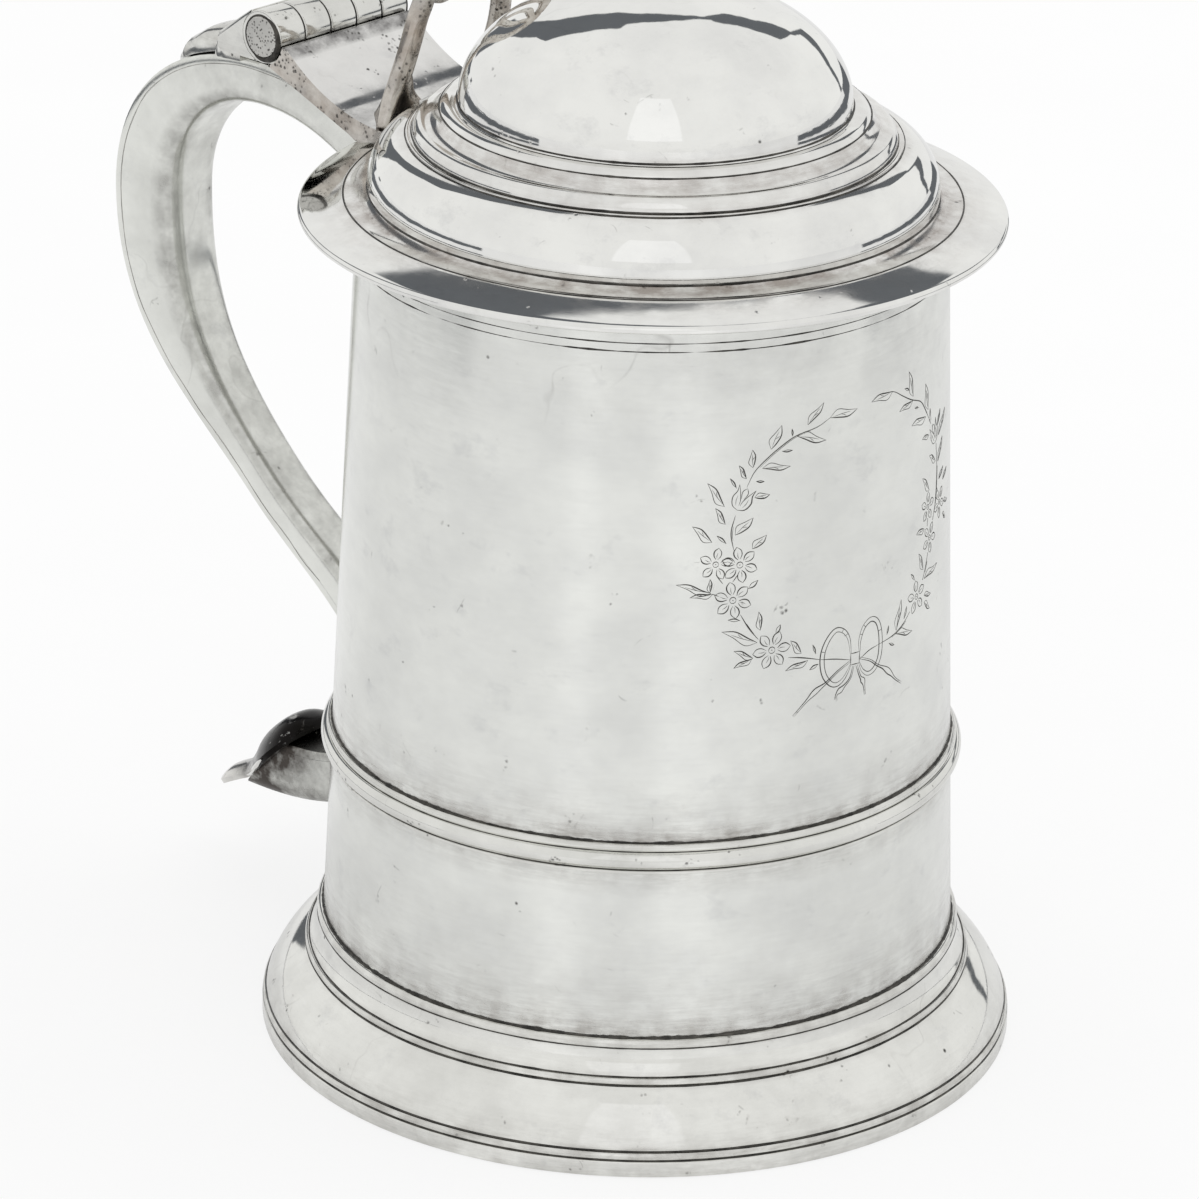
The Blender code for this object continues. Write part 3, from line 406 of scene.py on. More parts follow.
# Inside, the silver was boiled white in acid and only washed since: matt, pale and a little streaked
inside_silver = silver(
    "pickled_inside_silver", "#E6E6E2", "#D6D6D2", "#9A948D", 0.42,
    [(16, 0.5), (22, 0.3), (40, 0.12), (100, 0.1), (138, 0.25), (150.2, 0.1)], haze=0.1, stain=0.3, pits=0.05,
    metal=0.3)
# The foot and its wire are wiped bright on the crowns and keep tarnish under the beads
foot_silver = silver(
    "spread_foot_silver", "#EFEFEB", "#E4E4E0", "#86817B", 0.03,
    [(0, 0.45), (2.6, 0.2), (3.0, 0.5), (4.6, 0.6), (5.4, 0.25), (9, 0.06), (12.6, 0.1), (13.4, 0.4),
     (14.6, 0.5), (15.4, 0.14), (18.6, 0.1), (19.3, 0.45), (20.7, 0.4)], haze=0.045, stain=0.2, pits=0.12)
# The lid was polished most, so it shows crisp reflections; its coves are brown
lid_silver = silver(
    "polished_lid_silver", "#F3F3F0", "#E8E8E6", "#8F837B", 0.015,
    [(146, 0.2), (150.2, 0.05), (151.7, 0.3), (151.95, 0.75), (152.7, 0.8), (153.2, 0.1), (156, 0.0),
     (161.6, 0.05), (162.3, 0.4), (164.4, 0.15), (165.2, 0.55), (166.8, 0.5), (167.2, 0.1), (168.7, 0.3),
     (169.6, 0.12), (172, 0.0), (188.6, 0.0)], haze=0.035, stain=0.08, pits=0.05)
# Drawn through a plate as wire and tube, so it is smooth along its length
drawn_silver = silver(
    "drawn_tube_silver", "#EAEAE6", "#DADAD6", "#7F7A74", 0.05,
    [(0, 0.1), (50, 0.15), (51.5, 0.25), (54, 0.02), (55.6, 0.05), (56.3, 0.5), (159, 0.4), (161, 0.25),
     (166, 0.08), (170, 0.15)], haze=0.06, pits=0.22, pit_gap=0.9)
# The handle is bent sheet, handled daily: even and slightly warm; its inner faces and its tail by the boss
# carry painted shade
handle_silver = silver(
    "bent_handle_silver", "#F1F2ED", "#E6E7E2", "#4F4A46", 0.1,
    [(12, 0.2), (34, 0.1), (60, 0.04), (140, 0.04), (148, 0.14), (156, 0.3)], haze=0.07, stain=0.2, pits=0.05,
    grain=1, unwiped=True)
# Sand cast and filed: brown tarnish and a skin full of pits; towards its feet on the leaf the tarnish deepens
# as painted shade
cast_silver = silver(
    "sand_cast_silver_painted_shade", "#E6E3DD", "#B3A89D", "#4A3E36", 0.1,
    [(14, 0.1), (150, 0.6), (154.5, 0.55), (160, 0.35), (166, 0.4), (176, 0.5), (190, 0.3), (203, 0.15)],
    haze=0.12, pits=0.55, pit_gap=0.9, wave=0.00025, grain=1)
# The leaf is cast and then polished; the cloth never reached its foot, so it browns there
leaf_silver = silver(
    "polished_leaf_silver", "#EAE9E7", "#DDDCDA", "#5C5A5A", 0.02,
    [(150, 0.6), (154, 0.75), (156, 0.4), (158.5, 0.06), (162.2, 0.05), (162.9, 0.8), (165, 1.0)],
    haze=0.05, stain=0.1, pits=0.25, pit_gap=0.9, wave=0.00012, grain=2)
# The plugs were filed flush and never polished
plug_silver = silver(
    "filed_plug_silver", "#D6D5D1", "#B4B3AF", "#6A6866", 0.36,
    [(158, 0.3), (165, 0.15), (171, 0.3)], stain=0.0, pits=1.0, pit_gap=0.6, wave=0.0003, grain=1)
# The boss on the tail's end is painted black as shade, fading out towards its flared lip, which keeps the
# plain silver
black_silver = silver(
    "boss_silver_painted_shade", "#ECEBE8", "#DAD8D4", "#1B1A19", 0.1,
    [(8, 0.0), (14.6, 0.05), (16.4, 0.9), (18.4, 2.8), (28, 4.0), (34, 4.0)], haze=0.1, dull=0.04, stain=0.0,
    pits=0.3, wave=0.00015, grain=1)
# Oxide is near black in cuts and joints, and wiped to grey along the handle's seams
cut_oxide = oxide("oxide_in_cuts", "#2F2E2C", "#63615D")
seam_oxide = oxide("oxide_in_seams", "#8F8D89", "#BDBBB6")
joint_oxide = oxide("oxide_in_joints", "#262523", "#5A5752")


def make_barrel():
    """The tapered body, open at both ends, its lip rounded over."""
    low = wall_radius(SEAT_Z)
    profile = [(LIP_R, LIP_Z), (low, SEAT_Z), (low - WALL, SEAT_Z), (LIP_R - WALL, LIP_Z)]
    wall = turned("barrel_wall", eased(profile, 0.35))
    for face in wall.polygons:
        if face.normal.xy.dot(face.center.xy) < 0:
            face.material_index = 1
    dress(wall, barrel_silver, "vessel", "wrought_silver", "barrel")
    wall.materials.append(inside_silver)
    edge = low - WALL
    crown = [(0, 19.3), *arc((0, 19.3), (edge, 16.9), 0.6, 12), (edge, SEAT_Z)]
    crown += arc((edge, SEAT_Z), (0, 18.4), -0.6, 12)
    dress(turned("base_disc", crown), inside_silver, "vessel", "wrought_silver", "base_plate")


def make_girdle():
    """The band round the body: a small bead, a half-round and a fillet, each parted by a fine line."""
    top, bottom = wall_radius(GIRDLE_TOP), wall_radius(GIRDLE_BOTTOM)
    bead = [(top - 0.1, GIRDLE_TOP), (top + 0.25, GIRDLE_TOP)]
    bead += arc(bead[-1], (top + 0.75, GIRDLE_TOP - 1.2), 0.38, 8)
    round_top = (top + 0.62, GIRDLE_TOP - 1.35)
    half_round = [round_top, *arc(round_top, (bottom + 0.7, GIRDLE_BOTTOM + 0.75), 1.2, 16)]
    fillet = [(bottom + 0.62, GIRDLE_BOTTOM + 0.62), (bottom + 0.95, GIRDLE_BOTTOM + 0.5)]
    fillet += [(bottom + 0.95, GIRDLE_BOTTOM), (bottom - 0.1, GIRDLE_BOTTOM)]
    profile = eased(bead + half_round + fillet, 0.12, least=30)
    dress(turned("girdle_moulding", profile), drawn_silver, "vessel", "drawn_silver", "girdle_band")


def make_foot():
    """The spreading foot, with a bead, a cavetto, a second bead and a broad band, on its rim wire."""
    neck = wall_radius(FOOT_TOP)
    outside = [(neck - 0.1, FOOT_TOP), (neck + 0.3, FOOT_TOP)]
    outside += arc(outside[-1], (neck + 1.1, FOOT_TOP - 1.4), 0.4, 8)
    outside += [(neck + 1.0, 19.2), *arc((neck + 1.0, 19.2), (57.7, 14.75), -0.5, 14)]
    outside += [(57.75, 14.55), *arc((57.75, 14.55), (58.3, 13.4), 0.4, 8)]
    outside += [(58.3, 13.2), *arc((58.3, 13.2), (65.3, 4.6), 0.9, 22)]
    inside = [(64.4, 4.45), *arc((64.4, 4.45), (57.4, 12.4), -0.9, 10), (56.2, 14.6), (neck - 0.1, 16)]
    dress(turned("foot_mouldings", eased(outside + inside, 0.12, least=30)), foot_silver, "vessel",
          "wrought_silver", "foot_moulding")
    wire = [(65.2, RIM_TOP), *arc((65.2, RIM_TOP), (65.62, 3.0), 0.42, 8), (65.55, 2.86), (FOOT_R, 2.74)]
    wire += [(FOOT_R, 0), (62.6, 0), (62.6, RIM_TOP)]
    dress(turned("foot_wire", eased(wire, 0.2, least=30)), foot_silver, "vessel", "drawn_silver",
          "foot_rim_wire")


def make_lid():
    """The raised lid: dome, ring, small cyma, large ovolo, cove and falling flange; and its bezel."""
    dome = []
    for step in range(41):
        across, up = polar(1, 90 - 90 * step / 40)
        dome.append((DOME_R * across, DOME_FOOT + DOME_RISE * up))
    dome[0] = (0, DOME_FOOT + DOME_RISE)
    ring = [(33.3, 168.35), (33.75, 168.1), *arc((33.75, 168.1), (36.1, 167.15), 0.3, 8)]
    small_cove = [(36.3, 166.85), *arc((36.3, 166.85), (38.8, 164.75), -0.42, 10)]
    small_bead = arc((38.8, 164.75), (40.85, 162.75), 0.62, 10)
    step = [(40.85, 162.5), (41.25, 162.4), *arc((41.25, 162.4), (41.9, 162.35), 0.1, 4)]
    ovolo = [(42.0, 162.15), *arc((42.0, 162.15), (48.2, 152.95), 2.2, 22)]
    cove = [(48.25, 152.75), *arc((48.25, 152.75), (52.1, 151.85), -0.35, 10)]
    flange = [(52.3, 151.7), (52.5, 151.78), *arc((52.5, 151.78), (59.3, 149.9), 0.03, 12)]
    rim = [*arc((59.3, 149.9), (59.3, 148.5), 0.66, 10), (50.8, 150.5), (47.4, 150.5)]
    inside = [(47.4, 156.0), *arc((47.4, 156.0), (41.2, 161.4), -1.2, 8), (40.1, 162.4), (35.5, 166.2)]
    for step_up in range(13):
        across, up = polar(1, 90 * step_up / 12)
        inside.append(((DOME_R - LID_SHEET) * across, DOME_FOOT + (DOME_RISE - LID_SHEET) * up))
    inside[-1] = (0, DOME_FOOT + DOME_RISE - LID_SHEET)
    profile = dome + ring + small_cove + small_bead + step + ovolo + cove + flange + rim + inside
    dress(turned("lid_mouldings", eased(profile, 0.1, closed=False, least=30)), lid_silver, "lid",
          "wrought_silver", "lid_cover")
    bezel = [(48.5, 150.55), (47.2, 144.5), (46.3, 144.5), (47.6, 150.55)]
    dress(turned("bezel_ring", eased(bezel, 0.2)), lid_silver, "lid", "wrought_silver", "lid_bezel")


def oxide_ring(bm, radius, height, size, ragged):
    """A bead of oxide round the axis; a ragged one swells and thins in grains along the joint."""
    rows = []
    steps = TURN_STEPS * (3 if ragged > 0.5 else 1)
    for step in range(steps):
        x, y = polar(1, 360 * step / steps)
        spot = Vector((x, y, height * MM))
        swell = noise.noise(spot * 9) + 0.8 * noise.noise(spot * 60)
        thick = size * max(0.35, 1 + ragged * swell)
        section = [polar(thick, 60 * corner) for corner in range(6)]
        rows.append([bm.verts.new(((radius + a) * x, (radius + a) * y, height + b)) for a, b in section])
    join_rows(bm, rows, loop=True)


def make_oxide_lines():
    """The dark lines between the mouldings: beads of oxide in each joint and cut."""
    girdle, lower = wall_radius(GIRDLE_TOP), wall_radius(GIRDLE_BOTTOM)
    neck = wall_radius(FOOT_TOP)
    ragged_joints = [(girdle + 0.1, GIRDLE_TOP + 0.08, 0.2), (neck + 0.1, FOOT_TOP + 0.08, 0.23)]
    fine_joints = [
        (girdle + 0.62, 54.88, 0.15), (lower + 0.66, 51.66, 0.12), (lower + 0.1, 50.95, 0.15),
        (neck + 1.04, 19.24, 0.15), (57.74, 14.64, 0.15), (58.34, 13.28, 0.15), (65.2, 4.46, 0.2),
        (65.6, 2.88, 0.17),
    ]
    bm = bmesh.new()
    for radius, height, size in ragged_joints:
        oxide_ring(bm, radius, height, size, ragged=0.9)
    for radius, height, size in fine_joints:
        oxide_ring(bm, radius, height, size, ragged=0.35)
    for height, size in INCISED_LINES:
        oxide_ring(bm, wall_radius(height) + 0.05 - size, height, size, ragged=0.3)
    dress(settle("vessel_oxide_lines", bm), joint_oxide, "vessel", "wrought_silver")
    bm = bmesh.new()
    lid_joints = [
        (33.32, 168.42, 0.14), (36.28, 166.92, 0.15), (40.9, 162.56, 0.14), (41.96, 162.24, 0.13),
        (48.24, 152.84, 0.16), (52.3, 151.76, 0.14),
    ]
    for radius, height, size in lid_joints:
        oxide_ring(bm, radius, height, size, ragged=0.35)
    dress(settle("lid_oxide_lines", bm), joint_oxide, "lid", "wrought_silver")


# Stops along the S-scroll: centre (x, z), heading in degrees, depth and width of the section
SCROLL_STOPS = [
    ((-46.36, 136.2), 157.0, 8.4, 15.0),
    ((-88.0, 152.05), 180.0, 9.0, 15.0),
    ((-118.6, 124.0), 270.0, 14.0, 14.0),
    ((-90.0, 74.4), 318.2, 7.0, 10.0),
    ((-58.9, 38.0), 270.0, 8.2, 10.5),
    ((-99.0, 21.2), 176.0, 13.2, 14.0),
]
SCROLL_PULL = 0.41
SCROLL_STEPS = 26
BACK_SHEET = 1.9
CORNER_SHARE = 0.33
TAIL_CUT = Vector((-87.4, 20.39))
TAIL_DOWN = Vector(polar(1, 224))
TAIL_OUT = Vector((TAIL_DOWN.y, -TAIL_DOWN.x))
# How far from the boss the tail's painted shade reaches, in mm
TAIL_STAIN = 13.0
# The tail lies below this height and behind this place; its painted shade starts a little nearer the barrel
TAIL_TOP = 45.0
TAIL_FROM = -70.0
TAIL_STAIN_FROM = -60.0
# The solder lines show above and behind these
SOLDER_LOW = 60.0
SOLDER_FROM = -56.0


def scroll_sections():
    """Sections along the handle: centre, way, depth and width, from the lip to the tail."""
    sections = []
    for near, far in zip(SCROLL_STOPS, SCROLL_STOPS[1:]):
        start, end = Vector(near[0]), Vector(far[0])
        pull = (end - start).length * SCROLL_PULL
        corners = (start, start + Vector(polar(pull, near[1])), end - Vector(polar(pull, far[1])), end)
        for step in range(SCROLL_STEPS + (far is SCROLL_STOPS[-1])):
            t = step / SCROLL_STEPS
            s = 1 - t
            weights = (s ** 3, 3 * s * s * t, 3 * s * t * t, t ** 3)
            centre = sum((corner * weight for corner, weight in zip(corners, weights)), Vector((0, 0)))
            depth, width = along([(0, *near[2:]), (1, *far[2:])], t)
            sections.append((centre, depth, width))
    ways = headings([section[0] for section in sections])
    return [(centre, way, depth, width) for (centre, depth, width), way in zip(sections, ways)]


def section_ring(section, outline):
    """Section points (across, towards the back) set square to the handle's way."""
    centre, way = section[:2]
    back = Vector((way.y, -way.x))
    ring = []
    for across, depth in outline:
        spot = centre + back * depth
        ring.append((spot.x, across, spot.y))
    return ring


def trim_handle(bm):
    """Seat the arm in the barrel's wall, and cut the tail on its slant."""
    for vert in bm.verts:
        x, y, z = vert.co
        reach = math.hypot(x, y)
        seat = wall_radius(z) - WALL / 10
        if reach < seat and z > SEAT_Z:
            vert.co = (x * seat / reach, y * seat / reach, z)
    bmesh.ops.bisect_plane(
        bm, geom=bm.verts[:] + bm.edges[:] + bm.faces[:], dist=0.0001,
        plane_co=(TAIL_CUT.x, 0, TAIL_CUT.y), plane_no=(TAIL_OUT.x, 0, TAIL_OUT.y))
    for vert in bm.verts[:]:
        away = Vector((vert.co.x, vert.co.z)) - TAIL_CUT
        if away.dot(TAIL_OUT) > 0.001 and vert.co.z < TAIL_TOP and vert.co.x < TAIL_FROM:
            bm.verts.remove(vert)
    bmesh.ops.holes_fill(bm, edges=[edge for edge in bm.edges if edge.is_boundary])


def make_handle():
    """The hollow handle: the bent channel, the strip over its back and the solder line between them."""
    sections = scroll_sections()
    channel, strip, seams = [], [], ([], [])
    for section in sections:
        depth, half = section[2], section[3] / 2
        mouth, inner = depth / 2 - BACK_SHEET - 0.04, -depth / 2
        corner = CORNER_SHARE * depth
        side = [(-half, mouth), (-half, inner + corner)]
        side += arc(side[-1], (-half + corner, inner), -corner * (1 - math.sqrt(0.5)), 10)
        channel.append(section_ring(section, side + [(-x, z) for x, z in reversed(side)]))
        back = [(half, depth / 2 - BACK_SHEET), (half, depth / 2 - 0.85), (half - 0.25, depth / 2 - 0.4)]
        back += arc(back[-1], (0, depth / 2), 0.14, 6)
        strip.append(section_ring(section, back + [(-x, z) for x, z in reversed(back[:-1])]))
        for sign, seam in zip((-1, 1), seams):
            waver = 0.5 * noise.noise(section[0].to_3d() * 0.13 + Vector((0, 0, sign)))
            seam.append(section_ring(section, [(sign * half, mouth + waver)])[0])
    for name, rings, node in (("handle_bent_channel", channel, "handle_channel"),
                              ("handle_back_strip", strip, "handle_back")):
        bm = skin(rings)
        trim_handle(bm)
        tarnish_handle(bm, sections, node == "handle_channel")
        dress(settle(name, bm), handle_silver, "vessel", "wrought_silver", node)
    bm = bmesh.new()
    for seam in seams:
        lay_wire(bm, [p for p in seam if p[0] < SOLDER_FROM and p[2] > SOLDER_LOW], 0.07)
    dress(settle("handle_solder_lines", bm), seam_oxide, "vessel", "wrought_silver")


def tarnish_handle(bm, sections, inner):
    """Give each point its painted shade, laid on as tarnish: on the inner corners and where the tail meets
    its boss.
    """
    layer = bm.verts.layers.float_color.new("unwiped")
    for vert in bm.verts:
        spot = Vector((vert.co.x, vert.co.z))
        centre, way, depth, width = min(sections, key=lambda section: (section[0] - spot).length_squared)
        toward = -(spot - centre).dot(Vector((way.y, -way.x))) / depth
        across = abs(vert.co.y) / width
        amount = 0.0
        # The inner faces, which face the barrel, get painted shade
        if inner:
            inward = min(1.0, max(0.0, (toward - 0.14) / 0.2))
            amount = inward * (0.12 + 0.34 * min(1.0, max(0.0, (across - 0.12) / 0.2)))
        # The tail gets painted shade, deepest where it meets the boss
        gap = (TAIL_CUT - spot).dot(TAIL_OUT)
        if spot.y < TAIL_TOP and spot.x < TAIL_STAIN_FROM:
            amount += 1.25 * max(0.0, 1 - max(gap, 0) / TAIL_STAIN) ** 1.7 + 0.12
        vert[layer] = (amount, amount, amount, 1)


def lay_wire(bm, points, radii, sides=8):
    """A round bar along points in a bmesh; radii is one size, or one for each point."""
    points = [Vector(p) for p in points]
    if not hasattr(radii, "__len__"):
        radii = [radii] * len(points)
    rows = []
    for point, way, radius in zip(points, headings(points), radii):
        side = way.cross(Vector((0, 1, 0.01)) if abs(way.y) < 0.9 else Vector((1, 0, 0))).normalized()
        lift = side.cross(way)
        spokes = [polar(radius, 360 * corner / sides) for corner in range(sides)]
        rows.append([bm.verts.new(point + side * a + lift * b) for a, b in spokes])
    join_rows(bm, rows)


TERMINAL_LENGTH = 28.2
TERMINAL_HEAD = 12.4
TERMINAL_HALF = 9.0
TERMINAL_RISE = 5.2
TERMINAL_LIP = 3.0
TERMINAL_EDGE = 1.0
# The stretch of its edges along which polished wires stand in for their highlight: a painted highlight
RUBBED_FROM, RUBBED_TO = 0.3, 0.7
# Place along the boss, half width, crest height and lift of its edge, as shares of the sizes above
TERMINAL_ROWS = [
    (0.0, 0.2, 0.3, 0.0), (0.03, 0.5, 0.55, 0.0), (0.08, 0.76, 0.84, 0.0), (0.15, 0.93, 1.02, 0.0),
    (0.26, 1.0, 1.08, 0.0), (0.4, 0.92, 1.06, 0.0), (0.56, 0.7, 0.86, 0.0), (0.7, 0.52, 0.74, 0.2),
    (0.8, 0.52, 0.84, 0.5), (0.9, 0.56, 1.0, 0.8), (0.97, 0.5, 1.0, 0.96), (1.0, 0.36, 0.98, 1.0),
]


def make_terminal():
    """The heart-shaped boss on the tail's end, its point drawn out as a flared lip."""
    start = TAIL_CUT - TAIL_DOWN * TERMINAL_HEAD - TAIL_OUT * 0.05
    rings, rubbed = [], []
    for row in through(TERMINAL_ROWS, 4):
        place, width, crest, lip = row
        base = start + TAIL_DOWN * (TERMINAL_LENGTH * place) + TAIL_OUT * (TERMINAL_LIP * lip)
        height = max(TERMINAL_RISE * crest - TERMINAL_LIP * lip, TERMINAL_EDGE + 0.05)
        ring = []
        for share in range(-10, 11):
            across = share / 10
            swell = (height - TERMINAL_EDGE) * (1 - abs(across) ** 2.4)
            top = base + TAIL_OUT * (TERMINAL_EDGE + swell)
            ring.append((top.x, TERMINAL_HALF * width * across, top.y))
        for across in (1, 0.5, 0, -0.5, -1):
            ring.append((base.x, TERMINAL_HALF * width * across * 0.97, base.y))
        rings.append(ring)
        if RUBBED_FROM < place < RUBBED_TO:
            rubbed.append((*(base + TAIL_OUT * 0.6), TERMINAL_HALF * width + 0.15))
    # Its finish paints the boss's shade black
    dress(settle("handle_heart_boss", skin(rings)), black_silver, "vessel", "cast_silver", "handle_terminal")

    # Polished wires along the boss's sides: a painted highlight on its edges
    bm = bmesh.new()
    sizes = [0.15 + 0.4 * math.sin(math.pi * step / (len(rubbed) - 1)) for step in range(len(rubbed))]
    for sign in (-1, 1):
        lay_wire(bm, [(x, sign * y, z) for x, z, y in rubbed], sizes)
    dress(settle("boss_painted_highlight_edges", bm), lid_silver, "vessel", "cast_silver")


def side_slab(outline, half, bevel, slices=2):
    """A piece cut across the hinge from an outline of (x, z), its end edges bevelled."""
    rings = []
    for step in range(slices):
        y = half * (2 * step / (slices - 1) - 1)
        rings.append([(x, y, z) for x, z in outline])
    bm = skin(rings)
    ends = [edge for edge in bm.edges if all(abs(abs(vert.co.y) - half) < 0.001 for vert in edge.verts)]
    ends = [edge for edge in ends if abs(edge.verts[0].co.y - edge.verts[1].co.y) < 0.001]
    bmesh.ops.bevel(bm, geom=ends, offset=bevel, segments=3, profile=0.6, affect="EDGES")
    return bm


# The leaf's hollowed upper line, from the hinge to the lid
LEAF_ROLL = [(-73.3, 163.95), *arc((-73.3, 163.95), (-71.9, 163.75), 0.3, 5)]
LEAF_TOP = LEAF_ROLL + arc(LEAF_ROLL[-1], (-48.2, 154.5), -2.3, 22)
# The leaf ends where it meets the lid's large ovolo
LEAF_FIT_R = 48.6


def leaf_height(x):
    """Height of the leaf's upper line at a place along X."""
    return along(LEAF_TOP, x, ease=False)[0]


def make_hinge():
    """Block, knuckles and end plugs of the five-knuckle hinge, with beads of oxide at its joints and
    crescents of painted shadow by the plugs.
    """
    knuckle_seat = KNUCKLE_R - 0.06
    outline = [polar(knuckle_seat, BLOCK_WRAP_FROM + BLOCK_WRAP * step / 18) for step in range(19)]
    outline += [(BLOCK_END - HINGE_X, outline[-1][1]), (BLOCK_END - HINGE_X, outline[-1][1] + 3.0)]
    outline.append(polar(KNUCKLE_R + 0.35, BLOCK_WRAP_FROM))
    outline = [(x + HINGE_X, z + HINGE_Z) for x, z in eased(outline, 0.8, least=40)]
    block = side_slab(outline, HINGE_HALF, 0.3)
    dress(settle("hinge_wedge_block", block), drawn_silver, "vessel", "cast_silver", "hinge_block")

    for index in range(5):
        start = -HINGE_HALF + index * (KNUCKLE_LENGTH + KNUCKLE_GAP)
        end = start + KNUCKLE_LENGTH
        bore_near = PLUG_R + 0.1 if index == 0 else PIN_BORE_R
        bore_far = PLUG_R + 0.1 if index == 4 else PIN_BORE_R
        middle = (start + end) / 2
        tube = [(KNUCKLE_R, start), (KNUCKLE_R, end), (bore_far, end), (bore_far, middle)]
        tube += [(bore_near, middle), (bore_near, start)] if bore_near != bore_far else [(bore_near, start)]
        body = "lid" if index % 2 else "vessel"
        dress(turned_on_pin(f"knuckle_tube_{index + 1}", eased(tube, 0.28)), drawn_silver, body,
              "drawn_silver", f"knuckle_{index + 1}")

    for side, name in ((-1, "near"), (1, "far")):
        face = side * (HINGE_HALF + 0.5)
        disc = [(0, face), *arc((0, face), (PLUG_R, face - side * 0.32), 0.01 * side, 6)]
        disc += [(PLUG_R, side * (HINGE_HALF - 1.2)), (0, side * (HINGE_HALF - 1.2))]
        dress(turned_on_pin(f"pin_end_plug_{name}", eased(disc, 0.25, closed=False)), plug_silver, "vessel",
              "pitted_silver", f"pin_plug_{name}")

    bm = bmesh.new()
    for gap in range(4):
        y = -HINGE_HALF + (gap + 1) * (KNUCKLE_LENGTH + KNUCKLE_GAP) - KNUCKLE_GAP / 2
        pin_bead(bm, KNUCKLE_R - 0.32, y, 0.24, 0)
    # Round each end plug a bead of oxide, swollen on the lid's side by a crescent of painted shadow
    for side in (-1, 1):
        pin_bead(bm, PLUG_R + 0.12, side * (HINGE_HALF + 0.02), 0.16, 0.42)
    dress(settle("hinge_oxide_and_shadow_rings", bm), joint_oxide, "vessel", "drawn_silver")


def pin_bead(bm, radius, y, size, crescent):
    """A bead of oxide round the hinge pin; where it swells into a crescent on the side of the lid, it is
    painted shadow.
    """
    points, sizes = [], []
    for step in range(PIN_STEPS + 1):
        turn = 360 * step / PIN_STEPS
        swell = crescent * max(0, math.cos(math.radians(turn + 25))) ** 0.7
        x, z = polar(radius + swell, turn)
        points.append((HINGE_X + x, y, HINGE_Z + z))
        sizes.append(size + swell)
    lay_wire(bm, points, sizes, 6)


def make_leaf():
    """The hollowed leaf that joins the lid to its knuckles, thick at the hinge and fitted to the ovolo."""
    underside = [(-46.5, 154.1), (-46.5, 152.6), (-52.3, 151.75), (-55.05, 151.1), (-56.65, 152.7)]
    seat = []
    for step in range(10):
        x, z = polar(KNUCKLE_R + 0.3, -75 + 69 * step / 10)
        seat.append((x + HINGE_X, z + HINGE_Z))
    outline = eased(LEAF_TOP + underside + seat, 0.35, least=30)
    bm = side_slab(outline, HINGE_HALF, 0.55, slices=25)
    for vert in bm.verts:
        reach = math.hypot(vert.co.x, vert.co.y)
        if reach < LEAF_FIT_R:
            vert.co.x *= LEAF_FIT_R / reach
            vert.co.y *= LEAF_FIT_R / reach
    for face in bm.faces:
        if abs(face.normal.y) > 0.9 or face.normal.z < -0.3:
            face.material_index = 1
    piece = dress(settle("lid_hinge_leaf", bm), leaf_silver, "lid", "cast_silver", "lid_hinge_plate")
    piece.data.materials.append(cast_silver)


# Place along X, thickness and half width of the drop that runs down the handle's back
DROP_ROWS = [
    (-111.5, 0.6, 1.8), (-110.8, 2.2, 4.2), (-108.4, 3.7, 5.5), (-104.0, 4.4, 6.1), (-98.6, 4.3, 5.9),
    (-98.0, 3.6, 6.6), (-97.2, 4.6, 8.6), (-95.6, 5.2, 9.6), (-93.2, 5.4, 10.0), (-89.6, 5.4, 9.9),
    (-89.2, 2.6, 7.0), (-79.0, 2.6, 7.0),
]
DROP_STEPS = 110
# The stretch of the handle's upper arm that the drop lies on
ARM_LOW = 120.0
ARM_FROM, ARM_TO = -112.0, -70.0


def make_drop():
    """The saddle under the block, and the two-lobed drop that tails off down the handle's back."""
    backs = []
    for centre, way, depth, width in scroll_sections():
        if centre.y > ARM_LOW and ARM_FROM < centre.x < ARM_TO:
            backs.append(tuple(centre + Vector((way.y, -way.x)) * (depth / 2)))
    backs.sort()
    rings = []
    for step in range(DROP_STEPS + 1):
        x = DROP_ROWS[0][0] + (DROP_ROWS[-1][0] - DROP_ROWS[0][0]) * step / DROP_STEPS
        thick, half = along(DROP_ROWS, x)
        floor = along(backs, x, ease=False)[0] - 0.1
        if x > BLOCK_END:
            thick = max(min(floor + thick, HINGE_Z - KNUCKLE_R - 0.28) - floor, 0.2)
        ring = []
        for corner in range(17):
            across, up = polar(1, 180 - 180 * corner / 16)
            ring.append((x, half * math.copysign(abs(across) ** 0.8, across), floor + thick * up ** 0.75))
        rings.append(ring)
    dress(settle("hinge_drop_lobes", skin(rings)), drawn_silver, "vessel", "cast_silver", "hinge_drop")


THUMB_FOOT_X = -53.1
THUMB_FOOT_Z = 155.6
THUMB_SWEEP = 8.0
THUMB_BELLY = 26.0
THUMB_TOP = 45.0
THUMB_RAIL = 24.0
THUMB_WIDE = 10.0
# Size in metres of the cells in which its bars are fused
THUMB_VOXEL = 0.00032
# How far across the leaf each toe of a root reaches
TOE_REACHES = (4.8, 3.8, 2.8, 1.8, 0.9, 0.0, -0.9, -1.8, -2.8, -3.8, -4.9, -6.0)


def thumb_point(across, up):
    """A point of the bowed thumbpiece: how far across, and how high above its foot."""
    bow = 1 - ((up - THUMB_BELLY) / THUMB_BELLY) ** 2
    return THUMB_FOOT_X + THUMB_SWEEP * bow, across, THUMB_FOOT_Z + up


